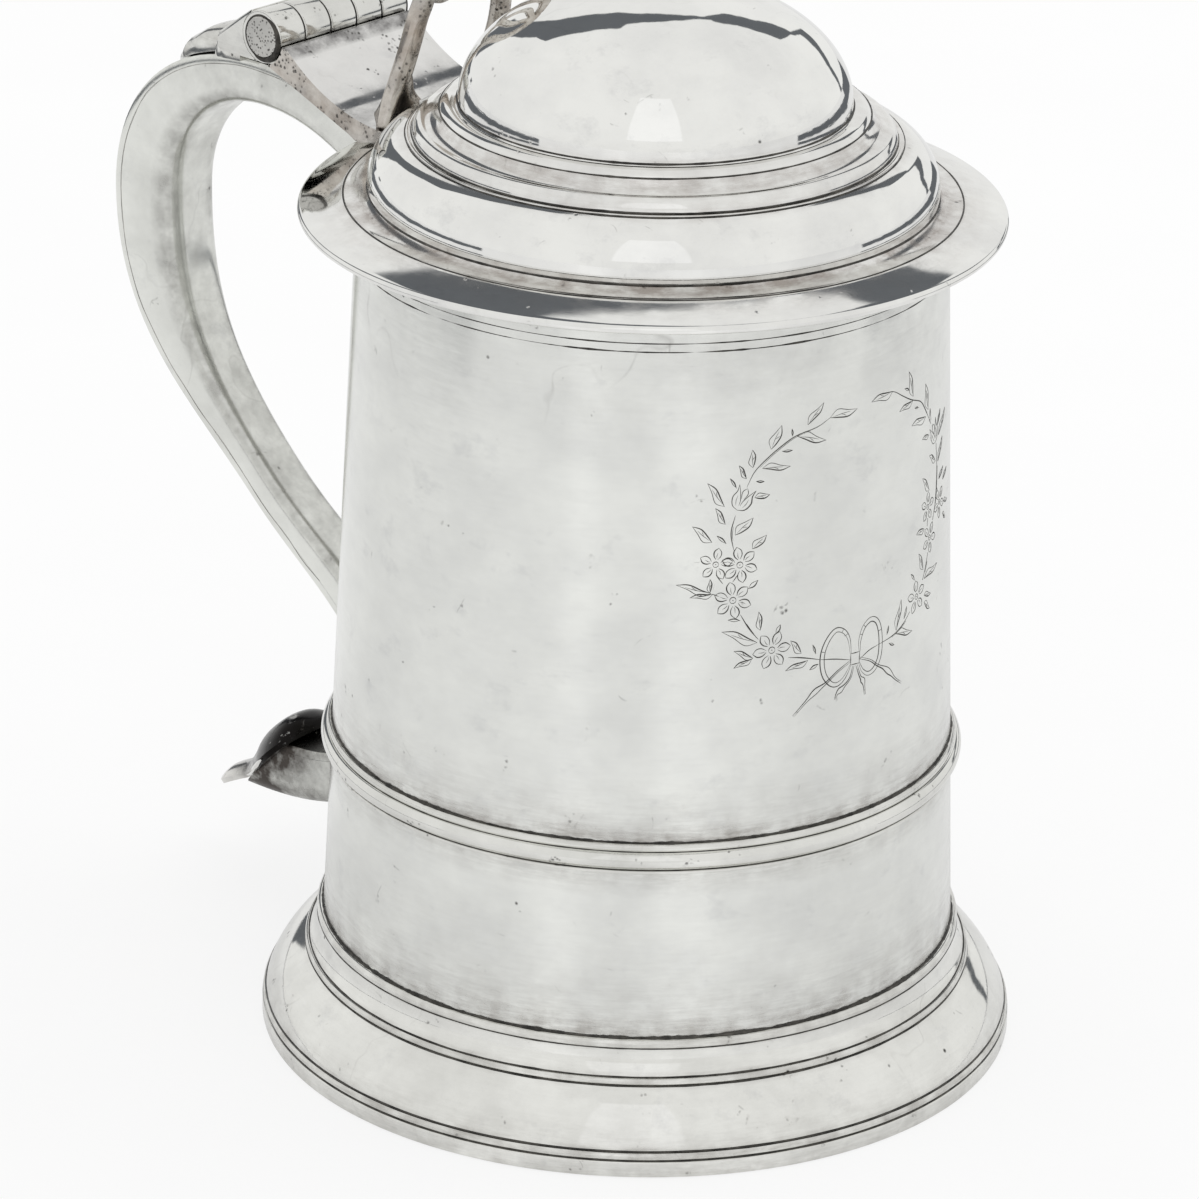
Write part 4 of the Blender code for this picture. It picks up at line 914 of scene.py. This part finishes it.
def make_thumbpiece():
    """The openwork thumbpiece: a bowed frame, a rail, a pierced splat and feet that spread on the leaf."""
    wide, rail, high = THUMB_WIDE, THUMB_RAIL, THUMB_TOP
    half = [(wide * 0.95, -1.8), (wide * 1.1, rail / 3), (wide * 1.05, rail * 0.75), (wide * 0.9, rail)]
    half += [(wide * 1.1, rail + (high - rail) / 2), (wide * 0.75, high * 0.92)]
    frame_line = half + [(0, high)] + [(-y, s) for y, s in reversed(half)]
    rail_line = [(wide * 0.95, rail), (wide / 2, rail - 2), (0, rail)]
    rail_line += [(-y, s) for y, s in reversed(rail_line[:-1])]
    window = high - rail
    splat = [(0, rail), (wide * 0.4, rail + window * 0.45), (wide * 0.2, rail + window * 0.75), (0, high)]
    bm = bmesh.new()
    for line, thick, flare in ((frame_line, 1.9, 0.5), (rail_line, 1.5, 0), (splat, 1.45, 0),
                               ([(-y, s) for y, s in splat], 1.45, 0)):
        points = [thumb_point(*p) for p in through(line, 8)]
        low = points[0][2]
        radii = [thick + flare * max(0, 1 - (p[2] - low) / 5) ** 2 for p in points]
        lay_wire(bm, points, radii, 14)
    for sign in (-1, 1):
        # The root spreads in toes: out to the leaf's edge, and in along the lid
        for reach in TOE_REACHES:
            end = THUMB_FOOT_X + 1.6 + 0.2 * abs(reach)
            neck, root = thumb_point(wide * 1.05, 7.5), thumb_point(wide + reach * 0.38, 3.2)
            tip = (end + 0.6, wide * 0.95 + reach, leaf_height(end) - 0.2)
            toe = through([neck, (root[0] + 0.7, root[1], root[2]), tip], 6)
            sizes = [1.95 - 0.05 * step for step in range(len(toe))]
            lay_wire(bm, [(x, sign * y, z) for x, y, z in toe], sizes, 12)
    raw = settle("thumb_bars", bm)
    fuse = bpy.data.objects.new("thumb_bars", raw)
    bpy.context.scene.collection.objects.link(fuse)
    remesh = fuse.modifiers.new("fuse", "REMESH")
    remesh.mode, remesh.voxel_size = "VOXEL", THUMB_VOXEL
    polish = fuse.modifiers.new("polish", "SMOOTH")
    polish.factor, polish.iterations = 0.5, 8
    graph = bpy.context.evaluated_depsgraph_get()
    mesh = bpy.data.meshes.new_from_object(fuse.evaluated_get(graph))
    bpy.data.objects.remove(fuse)
    bpy.data.meshes.remove(raw)
    mesh.name = "thumb_lever"
    mesh.materials.clear()
    mesh.shade_smooth()
    dress(mesh, cast_silver, "lid", "cast_silver", "thumbpiece")


# The wreath is drawn flat: distance round the barrel from +X and height, both in millimetres
WREATH_RADIUS = 51.5
# Leaves shorter than this are cut as commas; every cut's width is taken times GRAVER
SMALL_LEAF = 2.3
GRAVER = 0.85
STEMS = [
    [(-12.4, 85.8), (-16, 86.9), (-18.6, 87.4)], [(-24.0, 91.4), (-25.7, 93.6), (-27.2, 96.2)],
    [(-28.5, 107.6), (-29.0, 110.6), (-28.3, 113.6)],
    [(-26.4, 118.3), (-25.1, 120.8), (-23.0, 122.8), (-20.3, 124.7), (-17.5, 126.1), (-13.5, 126.9),
     (-10.9, 128.0)],
    [(0.2, 85.1), (4.5, 85.6), (7.4, 86.7), (9.4, 88.1)], [(14.0, 92.2), (15.2, 94.2), (16.2, 96.4)],
    [(18.4, 101.4), (19.6, 104.0), (20.3, 107.0), (20.6, 110.5), (20.2, 114.6)],
    [(17.6, 119.0), (16.4, 120.6), (15.0, 122.4), (13.2, 124.4), (9.8, 125.8), (7.0, 127.3), (4.4, 128.8),
     (2.0, 129.2)],
]
SIDE_STEMS = [
    [(-30.2, 101.8), (-31.4, 103.4)], [(-28.6, 102.0), (-27.6, 103.4)], [(15.9, 101.2), (16.1, 102.6)],
    [(20.2, 107.0), (21.2, 105.6)], [(-32.0, 100.2), (-30.9, 99.7)],
]
# Base and tip of each leaf, with its fatness as a share of its length
LEAVES = [
    (-10.9, 128.0, -5.0, 128.3, 0.14), (-17.4, 126.0, -11.7, 124.3, 0.13), (-15.4, 127.6, -12.2, 130.9, 0.14),
    (-22.2, 124.4, -20.3, 128.3, 0.2), (-25.4, 121.6, -25.5, 124.7, 0.2), (-26.5, 119.8, -27.8, 122.2, 0.14),
    (-28.2, 118.3, -29.3, 120.1, 0.1), (-23.7, 121.3, -18.6, 121.0, 0.12), (-25.0, 116.4, -22.3, 116.6, 0.2),
    (-30.2, 115.3, -33.1, 119.5, 0.13), (-30.0, 112.2, -31.7, 115.1, 0.15),
    (-32.2, 109.2, -35.5, 112.1, 0.16), (-29.8, 108.8, -31.4, 110.3, 0.12),
    (-28.3, 110.2, -25.2, 112.9, 0.2), (-25.3, 107.5, -22.8, 109.6, 0.22),
    (-32.2, 100.3, -38.0, 102.0, 0.1), (-31.9, 100.1, -35.7, 99.7, 0.12), (-32.4, 100.4, -32.4, 102.8, 0.16),
    (-26.0, 100.6, -24.2, 101.9, 0.2), (-23.7, 93.0, -24.0, 96.3, 0.16), (-24.2, 90.9, -30.3, 93.4, 0.12),
    (-27.2, 95.1, -29.3, 95.4, 0.14), (-21.0, 92.0, -20.1, 93.5, 0.22), (-24.9, 88.2, -28.2, 89.8, 0.14),
    (-25.1, 88.1, -28.2, 86.8, 0.14), (-16.2, 87.7, -18.2, 90.3, 0.18), (-14.9, 86.2, -19.1, 85.1, 0.12),
    (-13.4, 87.0, -14.0, 88.8, 0.1), (-12.8, 85.1, -14.6, 84.4, 0.16), (-18.3, 126.1, -18.4, 127.4, 0.12),
    (-24.8, 119.2, -23.3, 119.0, 0.12), (-20.2, 123.8, -18.2, 123.7, 0.1),
    (4.0, 129.0, -1.6, 128.6, 0.13), (10.4, 126.2, 9.0, 131.0, 0.14), (10.2, 125.5, 6.0, 124.8, 0.13),
    (16.2, 122.0, 15.2, 126.9, 0.16), (15.2, 121.1, 9.9, 121.1, 0.13), (16.5, 117.4, 13.9, 117.4, 0.18),
    (17.1, 120.2, 17.2, 121.9, 0.14), (19.8, 111.6, 16.9, 113.5, 0.16), (16.8, 107.4, 14.0, 110.4, 0.15),
    (21.2, 111.0, 24.0, 114.6, 0.15), (21.6, 115.6, 26.0, 119.0, 0.13), (21.0, 117.6, 22.6, 120.0, 0.16),
    (21.8, 107.6, 24.6, 109.0, 0.15), (24.4, 106.6, 27.5, 107.8, 0.15), (14.6, 101.2, 11.7, 101.1, 0.2),
    (14.2, 94.0, 12.6, 97.4, 0.16), (14.6, 92.2, 20.6, 92.9, 0.11), (11.0, 93.2, 9.8, 94.7, 0.14),
    (14.6, 89.2, 17.4, 88.6, 0.16), (14.6, 88.0, 16.9, 86.0, 0.16), (5.2, 86.1, 6.7, 91.2, 0.12),
    (7.5, 87.4, 8.4, 89.4, 0.12), (2.6, 86.2, 3.1, 87.7, 0.12), (5.0, 85.6, 10.2, 84.4, 0.12),
    (3.2, 84.5, 4.7, 83.7, 0.12), (9.2, 127.6, 7.6, 128.4, 0.12), (12.4, 123.6, 11.0, 123.9, 0.12),
    (25.0, 102.4, 28.0, 101.8, 0.14), (24.2, 100.6, 26.2, 99.0, 0.15),
]
# Centre, radius and first petal's direction of each flower
FLOWERS = [(-31.5, 105.3, 2.9, 80), (-27.4, 104.9, 3.2, 100), (-28.5, 98.8, 3.3, 40), (-21.6, 89.2, 3.4, 65),
           (11.7, 90.0, 3.0, 95), (16.9, 98.8, 2.8, 60), (16.2, 104.6, 2.7, 85), (22.0, 103.4, 2.9, 50)]
BUDS = [(-28.0, 114.5, 64, 4.0), (20.0, 115.0, 112, 3.9)]
# The bow: loops and tails are ribbons of two lines
BOW_LOOPS = [
    [(-6.1, 85.3), (-6.5, 88.0), (-7.6, 89.7), (-9.3, 90.3), (-10.9, 89.0), (-11.9, 87.0), (-12.1, 84.9),
     (-11.6, 82.7), (-10.3, 81.0), (-8.9, 80.6), (-7.4, 81.5), (-6.1, 83.4)],
    [(-4.1, 85.2), (-4.1, 87.0), (-3.2, 89.2), (-1.5, 90.2), (0.0, 89.5), (0.8, 87.6), (1.0, 85.0),
     (0.6, 82.7), (-0.6, 81.1), (-2.1, 80.7), (-3.4, 81.6), (-4.2, 83.2)],
]
BOW_TAILS = [
    [(-6.2, 84.0), (-8.8, 82.9), (-11.2, 81.4), (-13.4, 80.3), (-15.4, 78.7), (-17.6, 76.7)],
    [(-5.5, 83.0), (-6.2, 81.0), (-7.8, 79.7), (-9.0, 78.9), (-9.4, 77.9)],
    [(-4.8, 83.0), (-4.0, 80.8), (-3.2, 79.5), (-2.8, 77.1)],
    [(-4.0, 84.0), (-1.6, 82.9), (0.2, 81.5), (2.0, 80.4), (3.6, 79.0), (5.0, 77.5), (6.7, 76.2)],
]
BOW_KNOT = [(-6.1, 85.3), (-4.1, 85.2), (-4.2, 83.2), (-6.1, 83.3), (-6.1, 85.3)]


def stroke(bm, points, width):
    """One cut of the graver: a ribbon on the barrel that swells from its point and thins out again."""
    width *= GRAVER
    points = [Vector(p) for p in points]
    rows = []
    for index, (point, way) in enumerate(zip(points, headings(points))):
        side = Vector((-way.y, way.x))
        share = index / (len(points) - 1)
        half = width / 2 * max(0.3, math.sin(math.pi * (0.06 + 0.88 * share)) ** 0.7)
        row = []
        for across, lift in ((-1, 0.0), (0, 0.035), (1, 0.0), (0, -0.08)):
            spot = point + side * (half * across)
            turn = spot.x / WREATH_RADIUS
            radius = wall_radius(spot.y) + lift
            row.append(bm.verts.new((radius * math.cos(turn), radius * math.sin(turn), spot.y)))
        rows.append(row)
    join_rows(bm, rows)


def engrave_leaf(bm, base, tip, fat):
    """A leaf: a strong cut down one edge, a light one down the other, and veins; a small one is a comma."""
    way = tip - base
    side = Vector((-way.y, way.x)) * fat * 0.85
    curl = Vector((-way.y, way.x)) * 0.06
    if way.length < SMALL_LEAF:
        stroke(bm, through([base, base + way * 0.5 - side * 1.1, tip], 5), 0.27)
        stroke(bm, through([base + way * 0.1, base + way * 0.5 + side * 0.8, tip], 5), 0.13)
        return
    for sign, width in ((-1, 0.27), (1, 0.15)):
        edge = [base, base + way * 0.28 + side * sign + curl]
        edge += [base + way * 0.66 + side * 0.8 * sign - curl * 0.4, tip]
        stroke(bm, through(edge, 5), width)
    stroke(bm, through([base + way * 0.12, base + way * 0.45 + side * 0.12, base + way * 0.74], 4), 0.12)
    stroke(bm, [base + way * 0.42, base + way * 0.52 - side * 0.35, base + way * 0.58 - side * 0.7], 0.13)


def engrave_flower(bm, centre, radius, first):
    """A flower seen from the front: pointed petals, each in two open cuts with a vein, round a small eye."""
    petals = 6 if radius > 3 else 5
    for petal in range(petals):
        out = Vector(polar(radius, first + 360 * petal / petals))
        side = Vector((-out.y, out.x))
        for sign, width in ((-1, 0.18), (1, 0.26)):
            rim = [(0.3, 0.05), (0.52, 0.2), (0.78, 0.2), (1.0, 0.0)]
            stroke(bm, through([centre + out * a + side * b * sign for a, b in rim], 4), width)
        stroke(bm, [centre + out * 0.36, centre + out * 0.5 + side * 0.03, centre + out * 0.7], 0.13)
    eye = [centre + Vector(polar(0.17 * radius, 40 * corner)) for corner in range(10)]
    stroke(bm, eye[:6], 0.2)
    stroke(bm, eye[5:], 0.15)
    stroke(bm, [centre + Vector((-0.12, 0)), centre, centre + Vector((0.12, 0))], 0.2)


def engrave_bud(bm, base, heading, size):
    """A bud about to open: a round cup of two pointed petals that part at the top, with a third between."""
    out = Vector(polar(size, heading))
    side = Vector((-out.y, out.x))
    cup = [(0.0, 0.0), (0.12, 0.3), (0.45, 0.44), (0.75, 0.36), (1.04, 0.4)]
    fold = [(1.04, 0.4), (0.72, 0.2), (0.42, 0.06), (0.2, 0.03)]
    hatch = [(0.16, 0.16), (0.36, 0.24), (0.58, 0.26)]
    middle = [(0.5, 0.06), (0.8, 0.13), (1.0, 0.0)]
    for sign, width in ((-1, 0.28), (1, 0.2)):
        cuts = ((cup, 4, width), (fold, 4, 0.16), (hatch, 1, 0.13), (middle, 4, 0.16))
        for line, steps, cut_width in cuts:
            stroke(bm, through([base + out * a + side * b * sign for a, b in line], steps), cut_width)


def engrave_ribbon(bm, line, wide, eye, ticks):
    """A ribbon: two lines side by side with hatches across, parted by a lozenge where it turns over."""
    smooth = through(line, 6)
    edges = ([], [])
    for index, (point, way) in enumerate(zip(smooth, headings(smooth))):
        share = index / (len(smooth) - 1)
        taper = wide * (1 - 0.75 * abs(2 * share - 1) ** 3)
        if eye:
            taper = wide * (0.4 + 0.9 * math.exp(-((share - eye) / 0.12) ** 2))
        for sign, edge in zip((-1, 1), edges):
            edge.append(point + Vector((-way.y, way.x)) * taper * sign / 2)
    stroke(bm, edges[0], 0.26)
    stroke(bm, edges[1], 0.18)
    for tick in ticks:
        index = int(tick * (len(smooth) - 1))
        stroke(bm, [edges[0][index], smooth[index], edges[1][index]], 0.15)


def make_wreath():
    """The engraved wreath of flowers and leaves on the barrel, tied with a ribbon bow; its middle is bare."""
    bm = bmesh.new()
    for stem in STEMS:
        stroke(bm, through(stem, 5), 0.24)
        stroke(bm, [p + Vector((0.24, -0.14)) for p in through(stem, 5)[len(stem):-len(stem)]], 0.12)
    for stem in SIDE_STEMS:
        stroke(bm, through(stem, 4), 0.18)
    for x0, z0, x1, z1, fat in LEAVES:
        engrave_leaf(bm, Vector((x0, z0)), Vector((x1, z1)), fat)
    for x, z, radius, first in FLOWERS:
        engrave_flower(bm, Vector((x, z)), radius, first)
    for x, z, heading, size in BUDS:
        engrave_bud(bm, Vector((x, z)), heading, size)
    for loop in BOW_LOOPS:
        engrave_ribbon(bm, loop, 0.85, None, (0.14, 0.2, 0.46, 0.7))
    for tail in BOW_TAILS:
        engrave_ribbon(bm, tail, 0.75, 0.6, (0.94,))
    for start, end in zip(BOW_KNOT, BOW_KNOT[1:]):
        stroke(bm, [start, (Vector(start) + Vector(end)) / 2, end], 0.24)
    stroke(bm, through([(-12.4, 85.8), (-9.4, 85.2), (-6.3, 84.3)], 6), 0.22)
    stroke(bm, through([(0.2, 85.1), (-1.8, 84.8), (-4.0, 83.9)], 6), 0.22)
    dress(settle("barrel_wreath_engraving", bm), cut_oxide, "vessel", "wrought_silver")


# The dark room shows in the polished metal as an arch round the lit backdrop. Both edges are given as (turn,
# distance) in degrees about the backdrop's foot, straight behind the tankard; turn 0 is to the right.
ARCH_INSIDE = [
    (0, 38), (14, 35), (23, 27), (31, 24), (41, 33), (57, 37), (68, 38), (75, 44), (92, 44), (124, 40),
    (133, 35), (152, 21), (180, 18),
]
ARCH_OUTSIDE = [
    (0, 41), (17, 39), (26, 33), (35, 31), (41, 36), (45, 45), (70, 46), (71, 45), (87, 50), (102, 52),
    (105, 55), (133, 55), (135, 49), (146, 37), (165, 30), (180, 27),
]
ARCH_SPAN = 60.0
ARCH_WAVER = 3.0
EDGE_SOFT = 0.4
# The lit panel behind the camera: from, to across, from, to in height
PANEL_EDGES = (164, 200, 14, 66)
# Painted reflections: dark stretches on the table that only the metal sees, as boxes of degrees: from, to
# across (0 is away from the camera, right is positive), from, to in height as seen from the lid, whose eye
# stands at LID_EYE in metres
TABLE_EDGES = [(-112, -32, -12, -6.5), (-33, -20, -11, 0), (22, 38, -11, 0), (36, 92, -12, -6)]
LID_EYE = 0.17
TABLE_WAVER = 5.0
# Painted reflection tones: the table's tone as only the metal sees it, laying light and dark bands on the
# barrel,
# by direction from the barrel in degrees: 0 is towards the camera, right is positive
TABLE_TONES = [
    (-180, 0.86), (-144, 0.9), (-110, 0.85), (-59, 0.89), (-40, 0.9), (-30, 0.92), (-25, 0.99), (-19, 0.99),
    (-14, 0.92), (-2, 0.91), (5, 0.94), (9, 0.99), (19, 0.99), (25, 0.93), (44, 0.88), (60, 0.84),
    (113, 0.87), (150, 0.82), (180, 0.86),
]
ROOM_TONE = "#66696D"
TENT_TONE = "#F3F3F2"
# How much of the table's white is its own glow, to the camera and to the metal; half its width in metres
GLOW_SEEN = 0.76
GLOW_IN_METAL = 0.5
TABLE_HALF = 4.0
# The lamp's size and place in metres (right, away, up as the camera sees them), and its watts
LAMP_SIZE = 0.9
LAMP_PLACE = (0.75, 0.25, 1.3)
LAMP_POWER = 1.8


def box_mask(tree, across, up, left, right, low, high):
    """1 inside a box of angles, with soft edges."""
    ramps = []
    for source, edge, sign in ((across, left, 1), (across, right, -1), (up, low, 1), (up, high, -1)):
        ends = {"From Min": edge - EDGE_SOFT * sign, "From Max": edge + EDGE_SOFT * sign}
        ramps.append(add(tree, "MapRange", ends, {"Value": source}).outputs["Result"])
    mask, *others = ramps
    for ramp in others:
        mask = add(tree, "Math", {"operation": "MULTIPLY"}, {0: mask, 1: ramp}).outputs[0]
    return mask


def make_studio():
    """A white tent: plain white to the camera, and to the metal a tent with a lit panel and a dark arch."""
    world = bpy.data.worlds.new("white_tent")
    bpy.context.scene.world = world
    world.use_nodes = True
    tree = world.node_tree
    tree.nodes.clear()
    way = add(tree, "TexCoord", {}).outputs["Generated"]
    turned_way = add(tree, "Mapping", {"Rotation": (0, 0, math.radians(-CAMERA_TURN))}, {"Vector": way})
    axes = add(tree, "SeparateXYZ", {}, {0: turned_way.outputs[0]})
    across = add(tree, "Math", {"operation": "ARCTAN2"}, {0: axes.outputs["X"], 1: axes.outputs["Y"]})
    across = add(tree, "Math", {"operation": "DEGREES"}, {0: across.outputs[0]}).outputs[0]
    up = add(tree, "Math", {"operation": "ARCSINE"}, {0: axes.outputs["Z"]})
    up = add(tree, "Math", {"operation": "DEGREES"}, {0: up.outputs[0]}).outputs[0]

    # The lit panel stands behind the camera and leans over it
    facing = add(tree, "Math", {"operation": "ABSOLUTE"}, {0: across}).outputs[0]
    panel = box_mask(tree, facing, up, *PANEL_EDGES)
    tone = add(tree, "Mix", {"data_type": "RGBA", 6: linear(TENT_TONE), 7: (1, 1, 1, 1)}, {0: panel})

    # The dark arch lies between two wavering edges
    waver = add(tree, "TexNoise", {"Scale": 12.0, "Detail": 3}, {"Vector": way}).outputs["Fac"]
    spot = add(tree, "CombineXYZ", {}, {0: across, 1: up}).outputs[0]
    distance = add(tree, "VectorMath", {"operation": "LENGTH"}, {0: spot}).outputs["Value"]
    distance = add(tree, "Math", {"operation": "MULTIPLY_ADD", 1: ARCH_WAVER}, {0: waver, 2: distance})
    turn = add(tree, "Math", {"operation": "ARCTAN2"}, {0: up, 1: across}).outputs[0]
    turn = add(tree, "MapRange", {"From Max": math.pi}, {"Value": turn}).outputs["Result"]
    sides = []
    for outline, sign in ((ARCH_INSIDE, 1), (ARCH_OUTSIDE, -1)):
        stops = [(degrees / 180, reach / ARCH_SPAN) for degrees, reach in outline]
        limit = add(tree, "ValToRGB", {"stops": stops}, {0: turn}).outputs["Color"]
        past = add(tree, "Math", {"operation": "MULTIPLY_ADD", 1: -ARCH_SPAN},
                   {0: limit, 2: distance.outputs[0]})
        middle = ARCH_WAVER / 2
        ends = {"From Min": middle - EDGE_SOFT * sign, "From Max": middle + EDGE_SOFT * sign}
        sides.append(add(tree, "MapRange", ends, {"Value": past.outputs[0]}).outputs["Result"])
    arch = add(tree, "Math", {"operation": "MULTIPLY"}, {0: sides[0], 1: sides[1]}).outputs[0]
    tone = add(tree, "Mix", {"data_type": "RGBA", 7: linear(ROOM_TONE)}, {0: arch, 6: tone.outputs[2]})

    path = add(tree, "LightPath", {})
    mirror = add(tree, "Math", {"operation": "MAXIMUM"},
                 {0: path.outputs["Is Glossy Ray"], 1: path.outputs["Is Transmission Ray"]})
    white = add(tree, "Background", {"Color": (1, 1, 1, 1), "Strength": 1.0})
    in_metal = add(tree, "Background", {"Strength": 1.0}, {"Color": tone.outputs[2]})
    shown = add(tree, "MixShader", {}, {0: mirror.outputs[0], 1: white.outputs[0], 2: in_metal.outputs[0]})
    add(tree, "OutputWorld", {}, {"Surface": shown.outputs[0]})


def make_floor():
    """A wide white table that shows the metal painted reflections: darker tones by direction and dark
    stretches.
    """
    # Matt paper without gloss, so that it shows no more than a faint shadow
    paper = bpy.data.materials.new("white_paper_sweep")
    paper.use_nodes = True
    tree = paper.node_tree
    shader = tree.nodes["Principled BSDF"]
    shader.inputs["Roughness"].default_value = 0.9
    shader.inputs["Specular IOR Level"].default_value = 0.1
    place = add(tree, "TexCoord", {}).outputs["Object"]
    axes = add(tree, "SeparateXYZ", {}, {0: place})
    rays = add(tree, "LightPath", {})
    in_metal = rays.outputs["Is Glossy Ray"]

    # The paper's faint cloudiness, and the painted reflection tone it has in the metal by direction
    fibre = add(tree, "TexNoise", {"Scale": per_mm(60), "Detail": 3}, {"Vector": place})
    tone = add(tree, "Mix", {"data_type": "RGBA", 6: linear("#FDFDFD"), 7: linear("#FBFBFB")},
               {0: fibre.outputs["Fac"]})
    toward = add(tree, "Math", {"operation": "MULTIPLY", 1: -1.0}, {0: axes.outputs["Y"]})
    front = add(tree, "Math", {"operation": "ARCTAN2"}, {0: axes.outputs["X"], 1: toward.outputs[0]})
    turn = add(tree, "MapRange", {"From Min": -math.pi, "From Max": math.pi}, {"Value": front.outputs[0]})
    stops = [((degrees + 180) / 360, grey) for degrees, grey in TABLE_TONES]
    sector = add(tree, "ValToRGB", {"stops": stops}, {0: turn.outputs["Result"]})
    tone = add(tree, "Mix", {"data_type": "RGBA", "blend_type": "MULTIPLY"},
               {0: in_metal, 6: tone.outputs[2], 7: sector.outputs["Color"]})
    tree.links.new(tone.outputs[2], shader.inputs["Base Color"])

    # Painted reflections: dark stretches with a wavering edge, as the lid sees them, shown to the metal only
    across = add(tree, "Math", {"operation": "ARCTAN2"}, {0: axes.outputs["X"], 1: axes.outputs["Y"]})
    across = add(tree, "Math", {"operation": "DEGREES"}, {0: across.outputs[0]}).outputs[0]
    distance = add(tree, "VectorMath", {"operation": "LENGTH"}, {0: place}).outputs["Value"]
    up = add(tree, "Math", {"operation": "ARCTAN2", 0: -LID_EYE}, {1: distance})
    up = add(tree, "Math", {"operation": "DEGREES"}, {0: up.outputs[0]}).outputs[0]
    waver = add(tree, "TexNoise", {"Scale": per_mm(140), "Detail": 3}, {"Vector": place}).outputs["Fac"]
    up = add(tree, "Math", {"operation": "MULTIPLY_ADD", 1: TABLE_WAVER}, {0: waver, 2: up}).outputs[0]
    up = add(tree, "Math", {"operation": "SUBTRACT", 1: TABLE_WAVER / 2}, {0: up}).outputs[0]
    dark, *others = [box_mask(tree, across, up, *edges) for edges in TABLE_EDGES]
    for gap in others:
        dark = add(tree, "Math", {"operation": "MAXIMUM"}, {0: dark, 1: gap}).outputs[0]
    # The dark stretches are painted reflections: glossy rays alone see them
    beyond = add(tree, "Math", {"operation": "MULTIPLY"}, {0: dark, 1: in_metal})
    room = add(tree, "Emission", {"Color": linear(ROOM_TONE), "Strength": 1.0})

    # Most of the white is the paper's own, so that the shadow on it stays faint
    even = add(tree, "Math", {"operation": "MULTIPLY", 1: GLOW_SEEN}, {0: rays.outputs["Is Camera Ray"]})
    even = add(tree, "Math", {"operation": "MULTIPLY_ADD", 1: GLOW_IN_METAL},
               {0: in_metal, 2: even.outputs[0]})
    glow = add(tree, "Emission", {"Strength": 1.0}, {"Color": tone.outputs[2]})
    white = add(tree, "MixShader", {}, {0: even.outputs[0], 1: shader.outputs[0], 2: glow.outputs[0]})
    both = add(tree, "MixShader", {}, {0: beyond.outputs[0], 1: white.outputs[0], 2: room.outputs[0]})
    tree.links.new(both.outputs[0], tree.nodes["Material Output"].inputs["Surface"])

    bm = bmesh.new()
    bmesh.ops.create_grid(bm, x_segments=24, y_segments=24, size=TABLE_HALF)
    mesh = bpy.data.meshes.new("table")
    bm.to_mesh(mesh)
    bm.free()
    mesh.materials.append(paper)
    table = bpy.data.objects.new("table", mesh)
    # A hair below the foot, so that the two faces don't meet
    table.location = (AXIS_X * MM, 0, -0.0001)
    table.rotation_euler = (0, 0, math.radians(CAMERA_TURN))
    bpy.context.scene.collection.objects.link(table)


def make_lamp():
    """One large soft lamp, high on the right and a little behind, that lays a faint shadow to the left."""
    lamp = bpy.data.lights.new("soft_panel", "AREA")
    lamp.shape, lamp.size, lamp.energy = "DISK", LAMP_SIZE, LAMP_POWER
    panel = bpy.data.objects.new("soft_panel", lamp)
    panel.location = Matrix.Rotation(math.radians(CAMERA_TURN), 3, "Z") @ Vector(LAMP_PLACE)
    panel.rotation_mode = "QUATERNION"
    panel.rotation_quaternion = (-panel.location).to_track_quat("-Z", "Y")
    panel.visible_glossy = False
    bpy.context.scene.collection.objects.link(panel)


def make_camera():
    """The photograph's camera: a long lens, in front and above, turned towards the wreath's side."""
    lens = bpy.data.cameras.new("photo_camera")
    lens.sensor_width = SENSOR
    lens.lens = SENSOR * FOCAL_PIXELS / IMAGE_SIZE
    lens.clip_start, lens.clip_end = 0.05, 20
    camera = bpy.data.objects.new("photo_camera", lens)
    bpy.context.scene.collection.objects.link(camera)
    ahead = Vector((math.sin(CAMERA_YAW) * math.cos(CAMERA_PITCH),
                    math.cos(CAMERA_YAW) * math.cos(CAMERA_PITCH), -math.sin(CAMERA_PITCH)))
    right = Vector((math.cos(CAMERA_YAW), -math.sin(CAMERA_YAW), 0))
    down = ahead.cross(right)
    rolled_right = right * math.cos(CAMERA_ROLL) + down * math.sin(CAMERA_ROLL)
    rolled_down = down * math.cos(CAMERA_ROLL) - right * math.sin(CAMERA_ROLL)
    stance = Matrix.Rotation(math.radians(CAMERA_TURN), 3, "Z")
    columns = [stance @ rolled_right, stance @ -rolled_down, stance @ -ahead]
    place = stance @ Vector((0, -CAMERA_BACK, CAMERA_HEIGHT)) * MM + Vector((AXIS_X * MM, 0, 0))
    camera.matrix_world = Matrix.Translation(place) @ Matrix(columns).transposed().to_4x4()
    bpy.context.scene.camera = camera


make_camera()
make_studio()
make_lamp()
make_floor()
make_barrel()
make_girdle()
make_foot()
make_lid()
make_oxide_lines()
make_handle()
make_terminal()
make_hinge()
make_leaf()
make_drop()
make_thumbpiece()
make_wreath()
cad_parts["hinge_pin"].data.materials.clear()
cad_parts["hinge_pin"].data.materials.append(drawn_silver)

scene = bpy.context.scene
scene.view_settings.view_transform = "Standard"
